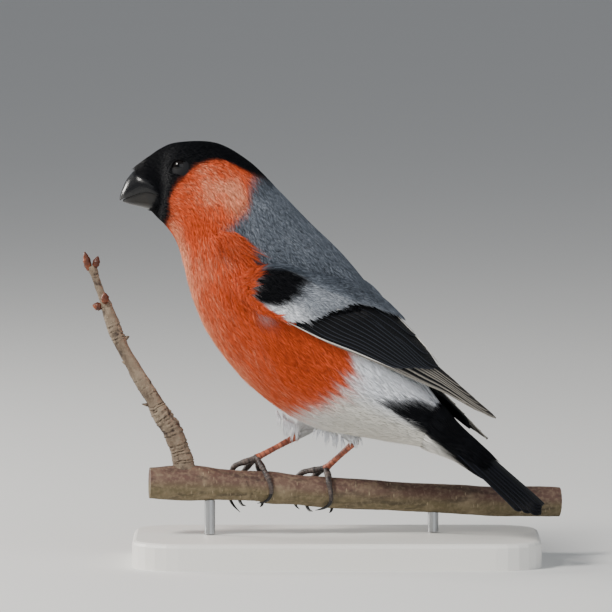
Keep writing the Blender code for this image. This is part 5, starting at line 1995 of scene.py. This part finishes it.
@dataclass(frozen=True)
class BillHalf:
    """One half of the bill: sections as ridge (x, z), edge (x, z) and half width."""

    name: str
    rows: tuple
    horn: Finish
    bristle_front: float

    def place(self, row: Array, arch: Array, lift: Array) -> Array:
        """Points over the horn.

        Each section is an arch from one cutting edge over the ridge to the other,
        flat along the line of the mouth; its height is a power of the sine of the
        turn round the arch and its width is the cosine.

        Args:
            row: section number, with fractions.
            arch: turn round the arch in radians.
            lift: height over the horn.

        Returns:
            Drawing points.
        """
        row, arch, lift = np.broadcast_arrays(row, arch, lift)
        read = curve_through(self.rows, row)
        ridge, edge = read[..., 0:2], read[..., 2:4]
        sine = np.maximum(np.sin(arch), 0.0)
        flat = edge + (ridge - edge) * (sine**0.8)[..., None]
        flat = flat + unit(ridge - edge) * (sine * lift)[..., None]
        wide = np.cos(arch) * (read[..., 4] + lift)
        return np.stack([flat[..., 0], wide, flat[..., 1]], -1)

    def unwrap(self, row: Array, arch: Array) -> Array:
        """Place of a point on the flat unwrap of the bill's base."""
        return np.stack([row / 8.0 + 0.1, arch / math.pi * 0.8 + 0.1], -1)

    def build(self) -> None:
        """Make the horn as rings from the face to the tip."""
        row = np.linspace(0.0, len(self.rows) - 1.0, 44)[:, None]
        shell = ring_shell(self.place(row, np.linspace(0.0, math.pi, 33)[None, :], 0.0))
        name, node = f"bill_{self.name}_horn", (f"bill_{self.name}",)
        make_piece(name, shell, self.horn, node, sharp_angle=50.0)

    def collar(self, finish: Finish, chance: Random) -> None:
        """Grow black bristles from the face onto the horn.

        Their roots lie further forward towards the ridge, as the square of the sine
        of the turn round the arch.

        Args:
            finish: the plumage.
            chance: random numbers.
        """
        count = 170
        arch = chance.uniform(0.06, math.pi - 0.06, count)
        row = self.bristle_front * np.sin(arch) ** 2 + chance.uniform(-0.25, 0.25, count)
        spots = np.stack([np.maximum(row, 0.05), arch], -1)
        style = TuftStyle(chance.uniform(1.3, 2.4, count), 0.1, 0.4, 16.0, 0.0, 12.0)
        coat = Coat(self.place, self.unwrap, Same((1.0, 0.0, 0.0, 0.0, 0.5)), 6, 101, 0.5)
        coat.pieces(f"coat_collar_{self.name}", spots, style, finish, "black_plumage")


@dataclass(frozen=True)
class Head:
    """The bill with its collar of bristles, the eyes and their lids."""

    plumage: Finish
    eye: Finish
    lid_skin: Finish
    bill: tuple
    eye_radius: float = 2.4
    lid_radius: float = 2.3

    def lid(self, side: Side) -> Shell:
        """Thin ring of skin round an eye, with small folds as sine waves.

        Args:
            side: which eye.

        Returns:
            Closed ring.
        """
        turns = circle(72)[:, None]
        around = circle(10)[None, :]
        thick = 0.3 + 0.03 * np.sin(turns * 18.0)
        reach = self.lid_radius + 0.02 * np.sin(turns * 18.0) + np.cos(around) * thick
        depth = 9.95 + np.sin(around) * thick * 1.3
        x = EYE_MIDDLE[0] + reach * np.cos(turns)
        z = EYE_MIDDLE[2] + reach * np.sin(turns) * 0.94
        return ring_shell(np.stack([x, side.value * depth, z], -1), loop=True)

    def build(self) -> None:
        """Make the pieces of the head that aren't the skin or its coat."""
        for half in self.bill:
            half.build()
        for side in Side:
            name, node = f"eyeball_{side.label}", (f"eye_{side.label}",)
            ball = ball_shell(EYE_MIDDLE * (1.0, side.value, 1.0), self.eye_radius)
            make_piece(name, ball, self.eye, node)
            make_piece(f"lid_{side.label}", self.lid(side), self.lid_skin)
        chance = np.random.default_rng(97)
        for half in self.bill:
            half.collar(self.plumage, chance)


# Branch, twig and buds
BRANCH = (
    (-54.0, -9.4, 23.9, 4.7), (-42.0, -8.2, 23.6, 5.3), (-33.0, -7.2, 23.1, 4.6),
    (-22.5, -6.0, 22.6, 4.5), (-17.5, -5.6, 21.9, 4.9), (-9.0, -4.8, 21.0, 4.5),
    (0.0, -3.9, 20.4, 4.6), (12.0, -2.6, 19.6, 4.5), (27.0, -1.0, 18.7, 4.3),
    (42.0, 1.0, 17.7, 4.3), (56.0, 3.4, 17.0, 4.5), (69.0, 6.0, 16.6, 4.3),
)
TWIG = (
    (-43.4, -8.2, 25.5, 3.6), (-44.1, -8.2, 30.4, 3.0), (-45.1, -8.1, 34.0, 2.7),
    (-47.4, -8.1, 39.8, 2.9), (-50.9, -8.0, 44.9, 2.8), (-52.8, -7.8, 48.6, 2.3),
    (-55.8, -7.4, 53.4, 2.2), (-59.0, -7.0, 58.8, 2.0), (-61.6, -6.7, 63.4, 1.9),
    (-63.6, -6.5, 67.8, 2.1), (-65.4, -6.3, 72.4, 2.0), (-67.0, -6.1, 77.0, 1.8),
    (-68.6, -5.9, 80.6, 1.3), (-70.1, -5.7, 84.8, 1.2), (-71.3, -5.6, 88.6, 1.4),
)
BUDS = (
    ((-72.1, -5.6, 87.3), (-0.24, -0.1, 1.0), 5.8, 1.2),
    ((-70.4, -5.8, 88.0), (0.28, -0.2, 1.0), 3.8, 1.1),
    ((-67.2, -7.2, 77.6), (-0.05, -0.5, 1.0), 3.6, 1.2),
    ((-68.2, -6.1, 76.2), (-1.0, -0.1, 0.25), 3.0, 1.25),
)
SPURS = (
    ((-62.4, -6.6, 66.4), (1.0, -0.1, 0.5), 2.7, 0.7),
    ((-59.6, -7.0, 59.2), (-1.0, -0.2, 0.3), 2.9, 0.7),
    ((-53.2, -7.8, 46.8), (-1.0, -0.3, 0.2), 3.4, 0.5),
)


@dataclass(frozen=True)
class Scars:
    """Rings round the wood: the rows they lie between, how many and how deep."""

    start: float
    end: float
    count: int
    depth: float


@dataclass(frozen=True)
class Perch:
    """The cut length of branch and the twig with its buds that stands on it."""

    bark: Finish
    twig_bark: Finish
    bud_skin: Finish
    branch_scars: tuple = (Scars(2.7, 3.3, 2, 0.16), Scars(7.2, 7.5, 1, 0.1))
    twig_scars: tuple = (
        Scars(0.3, 4.7, 11, 0.42), Scars(5.3, 6.3, 2, 0.26), Scars(8.6, 9.8, 4, 0.36),
        Scars(10.6, 11.2, 2, 0.22), Scars(12.7, 13.9, 3, 0.14),
    )

    def wood(
        self, rows: Sequence, steps: int, sides: int, rough: float, scars: Sequence[Scars]
    ) -> Shell:
        """Rough tube along a smooth path.

        The radius is the path's own, changed by waves that are long along the wood
        and short round it, and cut by narrow rings, unevenly spaced and deep.

        Args:
            rows: middle and radius at each knot.
            steps, sides: sections along it and points round each.
            rough: greatest change of the radius.
            scars: rings cut into it.

        Returns:
            Closed shell that carries how high each point lies round the wood.
        """
        where = np.linspace(0.0, len(rows) - 1.0, steps)
        read = curve_through(rows, where)
        rings = tube_rings(read[:, :3], read[:, 3], sides)
        away = unit(rings - read[:, None, :3])
        change = ripple(rings * (0.35, 1.0, 1.0), 9.0, 5, 4) * rough
        bent = where[:, None] + 0.06 * ripple(rings, 3.5, 9, 2)
        line = np.stack([where, 0.0 * where, 0.0 * where], -1)
        uneven = 0.4 * ripple(line, 0.5, 13, 2)[:, None]
        patchy = np.clip(0.6 + 0.6 * ripple(rings, 2.4, 17, 2), 0.1, 1.0)
        scar = np.zeros_like(change)
        for group in scars:
            turn = (bent - group.start) / (group.end - group.start)
            beat = 0.5 + 0.5 * np.cos(2.0 * math.pi * (turn * group.count + uneven))
            mask = smooth(0.0, 0.05, turn) * smooth(1.0, 0.95, turn) * patchy
            scar = scar + mask * beat**6
            change = change - group.depth * mask * (beat**6 - 0.5 * np.roll(beat, 2, 0) ** 4)
        rings = rings + away * change[..., None]
        shell = ring_shell(rings)
        # How high each point lies round the wood, which the bark finish uses for its painted light
        # and shade
        height = 0.5 + 0.5 * away[..., 2].reshape(-1)
        ring = np.clip(scar, 0.0, 1.0).reshape(-1)
        shell.marks["Strand"] = np.stack([height, ring, height, np.ones_like(height)], -1)
        return shell

    def bud(self, root: tuple, way: tuple, length: float, radius: float) -> Shell:
        """Pointed bud: a tube that swells and tapers, with three steps for its scales.

        Args:
            root: where it stands on the twig.
            way: its direction.
            length, radius: its length and its greatest radius.

        Returns:
            Closed shell.
        """
        share = np.linspace(0.0, 1.0, 30)
        path = np.array(root) + unit(np.array(way))[None, :] * length * share[:, None]
        wide = np.interp(share, (0, 0.25, 0.55, 0.82, 1.0), (0.55, 0.95, 1.0, 0.6, 0.1))
        turns = circle(20)
        scale = ((share[:, None] * 3.0 + 0.25 * np.sin(turns * 2.0)[None, :]) % 1.0) * 0.14
        shell = ring_shell(tube_rings(path, radius * wide[:, None] * (0.92 + scale), 20))
        shell.marks["Strand"] = np.tile((0.6, 0.0, 0.0, 1.0), (len(shell.points), 1))
        return shell

    def build(self) -> None:
        """Make the branch, the twig, its spurs and its buds."""
        branch = self.wood(BRANCH, 300, 80, 0.12, self.branch_scars)
        twig = self.wood(TWIG, 420, 44, 0.15, self.twig_scars)
        buds = joined([self.bud(*bud) for bud in BUDS])
        spurs = joined([self.bud(*spur) for spur in SPURS])
        nodes, slot = (("perch_branch",), ("perch_twig",)), "twig_bark"
        make_piece("branch_wood", branch, self.bark, nodes[0], sharp_angle=60.0)
        make_piece("twig_wood", twig, self.twig_bark, nodes[1], sharp_angle=60.0)
        make_piece("twig_spurs", spurs, self.twig_bark)
        make_piece("twig_buds", buds, self.bud_skin)


# Legs, toes and claws
@dataclass(frozen=True)
class Leg:
    """A leg's joints and its toes' paths round the branch."""

    side: Side
    hip: tuple
    ankle: tuple
    foot: tuple
    tuft: float
    toes: dict


LEGS = (
    Leg(Side.RIGHT, (-2.0, 1.6, 46.0), (-10.2, -0.6, 36.9), (-22.0, -5.8, 31.0), 4.6, {
        "inner": ((-3.6, 4, 2.2), (-6.8, 25, 0.9), (-7.9, 75, 0.75), (-8.2, 122, 0.65),
                  (-7.9, 146, 0.8), (-6.9, 166, 1.6), (-5.0, 178, 3.3)),
        "middle": ((-2.6, 30, 1.6), (-4.4, 62, 0.9), (-5.0, 102, 0.7), (-5.2, 140, 0.65),
                   (-4.9, 160, 0.7), (-4.3, 178, 1.0), (-3.2, 196, 1.4)),
        "outer": ((0.6, 34, 1.6), (1.6, 66, 0.9), (2.0, 100, 0.7), (2.0, 130, 0.65),
                  (1.8, 150, 0.7), (1.5, 168, 0.9), (1.0, 184, 1.2)),
        "hind": ((1.6, -22, 1.9), (3.2, -52, 1.0), (4.3, -80, 0.8), (4.4, -100, 0.7),
                 (3.7, -120, 0.65), (2.3, -136, 0.7), (0.2, -150, 0.8)),
    }),
    Leg(Side.LEFT, (4.0, -13.6, 44.0), (7.4, -13.0, 36.4), (-1.2, -4.6, 27.8), 4.4, {
        "inner": ((-3.6, 6, 1.6), (-6.9, 18, 0.9), (-9.2, 60, 0.75), (-9.8, 108, 0.65),
                  (-9.6, 130, 0.7), (-9.0, 150, 0.8), (-8.0, 168, 1.0)),
        "middle": ((-2.6, 34, 1.5), (-4.8, 66, 0.9), (-5.6, 104, 0.7), (-5.8, 140, 0.65),
                   (-5.5, 160, 0.7), (-4.9, 178, 0.9), (-4.0, 196, 1.2)),
        "outer": ((0.6, 36, 1.5), (1.6, 68, 0.9), (2.0, 100, 0.7), (2.0, 130, 0.65),
                  (1.8, 150, 0.7), (1.5, 168, 0.9), (1.0, 184, 1.2)),
        "hind": ((0.4, -28, 1.7), (0.9, -58, 1.0), (1.4, -86, 0.8), (1.5, -108, 0.7),
                 (0.8, -128, 0.65), (-0.9, -146, 0.7), (-3.2, -162, 0.9)),
    }),
)


@dataclass(frozen=True)
class Thigh:
    """A thigh: a cone, fat at the hip and narrow at the ankle, with pale feathers."""

    leg: Leg
    finish: Finish
    colour: tuple = (0.0, 0.0, 0.25, 0.4, 0.85)

    def place(self, along: Array, turn: Array, lift: Array) -> Array:
        """Points on the thigh, as circles about the line from the hip to the ankle.

        Args:
            along: share of the way to the ankle.
            turn: angle round the thigh in radians.
            lift: height over its surface.

        Returns:
            Drawing points.
        """
        along, turn, lift = np.broadcast_arrays(along, turn, lift)
        hip, ankle = np.array(self.leg.hip), np.array(self.leg.ankle)
        axis = unit(ankle - hip)
        first = unit(np.cross(axis, (0.0, 1.0, 0.0)))
        second = np.cross(axis, first)
        fullness = np.array((1.0, 0.9, 0.55, 1.5 / self.leg.tuft)) * self.leg.tuft
        wide = np.interp(along, (0.0, 0.35, 0.75, 1.0), fullness)
        reach = (wide - 0.6 + lift)[..., None]
        round_about = first * np.cos(turn)[..., None] + second * np.sin(turn)[..., None]
        return hip + (ankle - hip) * along[..., None] + round_about * reach

    def unwrap(self, along: Array, turn: Array) -> Array:
        """Place of a point on the flat unwrap of the thigh."""
        return np.stack([along * 0.3 + 0.1, turn / 7.0], -1)

    def build(self) -> None:
        """Make the thigh's core and its tuft of pale feathers."""
        label, slot = self.leg.side.label, "pale_plumage"
        along, turn = np.linspace(0.0, 1.0, 30)[:, None], circle(40)[None, :]
        shell = ring_shell(self.place(along, turn, np.array(-0.2)))
        shell.marks = marked(np.tile(self.colour, (len(shell.points), 1)))
        node = (f"thigh_{label}",)
        make_piece(f"thigh_core_{label}", shell, self.finish, node)
        spots = scatter(self.place, (0.02, 0.98, 0.0, 2.0 * math.pi), Same(0.8), 7)
        near = smooth(0.45, 0.95, spots[:, 0])
        style = TuftStyle(3.6 - 2.2 * near, 0.18, 0.5 - 0.25 * near, 12.0, 0.0, 6.0)
        coat = Coat(self.place, self.unwrap, Same(self.colour), 10, 61)
        coat.pieces(f"coat_thigh_{label}", spots, style, self.finish, slot)


@dataclass(frozen=True)
class Legs:
    """Both legs with their scaly toes, claws and feathered thighs.

    A path's row off the branch is its distance along it from the foot, its turn in
    degrees from the top to the far side, and its height off the bark.
    """

    shank: Finish
    toe_skin: Finish
    claw_horn: Finish
    plumage: Finish
    clearance: float = 0.3
    toe_radii: tuple = (0.95, 0.90, 0.80, 0.72, 0.60)
    claw_radii: tuple = (0.55, 0.48, 0.36, 0.08)

    def on_branch(self, x: float, turn: float, height: float) -> tuple:
        """Point off the bark, on a circle about the branch's middle line.

        Args:
            x: where along the branch.
            turn: degrees from the top to the far side.
            height: distance off the clearance over the bark.

        Returns:
            The point.
        """
        table = np.array(BRANCH)
        middle = [float(np.interp(x, table[:, 0], table[:, k])) for k in range(4)]
        reach, angle = middle[3] + self.clearance + height, math.radians(turn)
        sideways, upwards = reach * math.sin(angle), reach * math.cos(angle)
        return (middle[0], middle[1] + sideways, middle[2] + upwards)

    def toe_rows(self, leg: Leg, toe: str) -> Array:
        """Middle points of a toe and its claw.

        Args:
            leg, toe: its leg and its name.

        Returns:
            One row a point.
        """
        points = [leg.foot]
        points += [self.on_branch(leg.foot[0] + d, t, h) for d, t, h in leg.toes[toe]]
        return np.array(points)

    def scaly(self, path: Array, radii: Array, plates: float, sides: int = 18) -> Shell:
        """Tube whose radius steps down at the end of each plate.

        Args:
            path: middle points.
            radii: radius at each of them.
            plates: number of plates along it.
            sides: points round it.

        Returns:
            Closed shell.
        """
        share = np.linspace(0.0, 1.0, len(path))
        step = 1.0 + 0.09 * (0.5 - (share * plates) % 1.0)
        return ring_shell(tube_rings(path, radii * step, sides))

    def toe(self, leg: Leg, toe: str) -> Shell:
        """One toe, swollen at its joints as a cosine wave.

        Args:
            leg, toe: its leg and its name.

        Returns:
            Closed shell.
        """
        where = np.linspace(0.0, len(self.toe_radii) - 1.0, 64)
        path = curve_through(self.toe_rows(leg, toe), where)
        radii = np.interp(where, range(len(self.toe_radii)), self.toe_radii)
        radii = radii * (1.0 + 0.08 * np.cos(where * 2.0 * math.pi))
        return self.scaly(path, radii, 14.0)

    def claw(self, leg: Leg, toe: str) -> Shell:
        """Curved tapering claw that goes on from its toe.

        Args:
            leg, toe: its leg and its toe's name.

        Returns:
            Closed shell.
        """
        rows = self.toe_rows(leg, toe)
        first = len(self.toe_radii) - 1.0
        where = np.linspace(first - 0.1, len(rows) - 1.0, 36)
        radii = np.interp(where - first, range(len(self.claw_radii)), self.claw_radii)
        return ring_shell(tube_rings(curve_through(rows, where), radii, 16))

    def tarsus(self, leg: Leg) -> Shell:
        """Shank along the line from the ankle to the foot, wider at both.

        Args:
            leg: its leg.

        Returns:
            Closed shell.
        """
        share = np.linspace(0.0, 1.0, 70)[:, None]
        ankle, foot = np.array(leg.ankle), np.array(leg.foot)
        path = ankle + (foot - ankle) * share
        radii = np.interp(share[:, 0], (0.0, 0.12, 0.5, 0.9, 1.0), (1.25, 1.0, 0.82, 0.95, 1.2))
        return self.scaly(path, radii, 9.0)

    def build(self) -> None:
        """Make both legs."""
        for leg in LEGS:
            label = leg.side.label
            Thigh(leg, self.plumage).build()
            shank, node = self.tarsus(leg), (f"tarsus_{label}",)
            make_piece(f"shank_{label}", shank, self.shank, node, sharp_angle=60.0)
            for toe in leg.toes:
                end = f"{toe}_{label}"
                digit, node = self.toe(leg, toe), (f"toe_{end}",)
                make_piece(f"digit_{end}", digit, self.toe_skin, node, sharp_angle=60.0)
                claw, node = self.claw(leg, toe), (f"claw_{end}",)
                make_piece(f"talon_{end}", claw, self.claw_horn, node)


@dataclass(frozen=True)
class Wisp:
    """A loose bunch of long white barbs that hang from the belly.

    Its roots lie evenly on a line between two places in the plane of the picture.
    """

    first: tuple
    last: tuple
    depth: float
    count: int
    length: float
    heading: float

    def place(self, across: Array, upward: Array, lift: Array) -> Array:
        """Points on an upright sheet that faces the viewer."""
        across, upward, lift = np.broadcast_arrays(across, upward, lift)
        return np.stack([across, self.depth - lift, upward], -1)

    def unwrap(self, across: Array, upward: Array) -> Array:
        """Place of a point on the flat unwrap of the sheet."""
        return np.stack([across * 0.01 + 0.5, upward * 0.01], -1)

    def build(self, name: str, finish: Finish, seed: int) -> None:
        """Grow the bunch on its sheet.

        Args:
            name: its name.
            finish: its plumage.
            seed: start of its random numbers.
        """
        chance = np.random.default_rng(seed)
        share = np.linspace(0.0, 1.0, self.count)[:, None]
        spots = np.array(self.first) * (1.0 - share) + np.array(self.last) * share
        spots = spots + chance.normal(0.0, 0.25, spots.shape)
        length = self.length * chance.uniform(0.6, 1.15, self.count)
        style = TuftStyle(length, 0.32, 1.2, 6.0, self.heading, 11.0)
        coat = Coat(self.place, self.unwrap, Same((0.0, 0.0, 0.0, 0.0, 0.6)), 4, seed, 0.5)
        coat.pieces(name, spots, style, finish, "pale_plumage")


WISPS = (
    Wisp((-16.6, 45.4), (-13.6, 43.6), -6.0, 6, 4.8, -74.0),
    Wisp((-13.8, 43.4), (-10.0, 41.2), -7.0, 16, 5.2, -98.0),
    Wisp((-3.6, 40.9), (3.6, 38.2), -12.0, 22, 4.4, -84.0),
    Wisp((5.0, 38.4), (8.8, 37.6), -14.0, 9, 3.6, -72.0),
)


@dataclass(frozen=True)
class Wisps:
    """Long loose barbs between belly and legs."""

    finish: Finish
    bunches: tuple = WISPS

    def build(self) -> None:
        """Make each bunch as a piece."""
        for number, wisp in enumerate(self.bunches):
            wisp.build(f"coat_wisp_{number}", self.finish, 90 + number)


# Stand and studio
@dataclass(frozen=True)
class Stand:
    """The plain base and its two rods, kept as they were built."""

    paint: Finish
    steel: Finish

    def build(self) -> None:
        """Give the base its paint and the rods their steel."""
        for name in ("stand_base", "stand_rod_1", "stand_rod_2"):
            finish = self.paint if name == "stand_base" else self.steel
            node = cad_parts[name]
            node.data.materials.clear()
            node.data.materials.append(finish.material())


@dataclass(frozen=True)
class Studio:
    """Floor, soft light and the camera at the photo's angle."""

    aim: tuple = (-0.0092, 0.006, 0.0762)
    distance: float = 2.4
    elevation: float = 4.0
    view_width: float = 0.1836

    def floor(self) -> None:
        """Lay a wide pale floor under the base."""
        mesh = bpy.data.meshes.new("floor")
        half = 6.0
        corners = [(-half, -half, 0.0), (half, -half, 0.0), (half, half, 0.0), (-half, half, 0.0)]
        mesh.from_pydata(corners, [], [(0, 1, 2, 3)])
        mesh.materials.append(FloorFinish("floor_paint").material())
        floor = bpy.data.objects.new("floor", mesh)
        bpy.context.scene.collection.objects.link(floor)

    def lamp(self, name: str, place: tuple, size: float, power: float, colour: tuple) -> None:
        """Hang one square soft lamp that faces the bird.

        Args:
            name: its name.
            place: where it hangs.
            size, power, colour: its side, its watts and its light's colour.
        """
        data = bpy.data.lights.new(name, "AREA")
        data.size, data.energy, data.color = size, power, colour
        lamp = bpy.data.objects.new(name, data)
        away = Vector(place) - Vector(self.aim)
        lamp.location = place
        lamp.rotation_euler = away.to_track_quat("Z", "Y").to_euler()
        bpy.context.scene.collection.objects.link(lamp)

    def lights(self) -> None:
        """Light the bird from the upper left, with a weaker light on its right."""
        self.lamp("key", (-0.75, -0.62, 1.0), 0.4, 21.5, (1.0, 0.97, 0.92))
        self.lamp("fill", (0.7, -1.1, 0.4), 1.6, 11.0, (0.92, 0.96, 1.0))
        self.lamp("rim", (-0.95, 0.42, 0.34), 0.3, 11.0, (1.0, 0.97, 0.92))
        world = bpy.data.worlds.new("studio")
        world.use_nodes = True
        shade = world.node_tree.nodes["Background"]
        shade.inputs["Color"].default_value = (0.76, 0.79, 0.84, 1.0)
        shade.inputs["Strength"].default_value = 0.36
        bpy.context.scene.world = world

    def camera(self) -> None:
        """Set the camera to the photo's framing."""
        data = bpy.data.cameras.new("camera")
        data.sensor_width = 36.0
        data.lens = 36.0 * self.distance / self.view_width
        data.clip_start, data.clip_end = 0.1, 20.0
        camera = bpy.data.objects.new("camera", data)
        rise = math.radians(self.elevation)
        back = Vector((0.0, -math.cos(rise), math.sin(rise)))
        camera.location = Vector(self.aim) + back * self.distance
        camera.rotation_euler = back.to_track_quat("Z", "Y").to_euler()
        bpy.context.scene.collection.objects.link(camera)
        bpy.context.scene.camera = camera

    def build(self) -> None:
        """Set up the whole studio."""
        self.floor()
        self.lights()
        self.camera()


def main() -> None:
    """Build every piece of the bullfinch, its perch and its stand."""
    logging.basicConfig(level=logging.INFO, format="%(message)s")
    plumage = PlumageFinish("plumage")
    skin = Skin(BodyForm(BODY), Markings(), plumage)
    upper = HornFinish("bill_black")
    lower = HornFinish("bill_brown", tone(13, 12, 12), tone(60, 52, 45), 0.3, 0.24)
    bill = (
        BillHalf("upper", UPPER_BILL, upper, 1.25),
        BillHalf("lower", LOWER_BILL, lower, 0.7),
    )
    lid = HornFinish("lid_skin", tone(4, 4, 6), tone(9, 9, 11), 0.1, 0.7, 0.08)
    shank = ScaleFinish("shank_scales", plates=9.0)
    toes = ScaleFinish("toe_scales", tone(36, 28, 27), tone(90, 77, 71), tone(14, 11, 12), 14.0)
    claws = HornFinish("claw_black", light=tone(90, 84, 80), rough=0.26)
    twig_bark = BarkFinish(
        "twig_bark_finish", tone(122, 105, 88), tone(94, 80, 66), tone(168, 152, 130),
        tone(46, 34, 28), 700.0, (1.0, 1.0, 1.0), (420.0, 420.0, 200.0), 0.85, 0.5,
    )
    buds = HornFinish("bud_scales", tone(74, 34, 18), tone(150, 78, 42), 0.8, 0.34)
    parts = (
        skin,
        BodyCoat(skin),
        Wings(),
        WingCoat(Wing(Side.LEFT), plumage),
        WingCoat(Wing(Side.RIGHT), plumage),
        TailFan(),
        TailCoverts(plumage),
        Head(plumage, EyeFinish("eye_wet"), lid, bill),
        Legs(shank, toes, claws, plumage),
        Wisps(plumage),
        Perch(BarkFinish("branch_bark_finish"), twig_bark, buds),
        Stand(PaintFinish("base_satin"), SteelFinish("rod_brushed")),
    )
    for part in parts:
        part.build()
    for mesh in bpy.data.meshes:
        LOG.info("%s: %d faces", mesh.name, len(mesh.polygons))
    Studio().build()


if __name__ == "__main__":
    main()
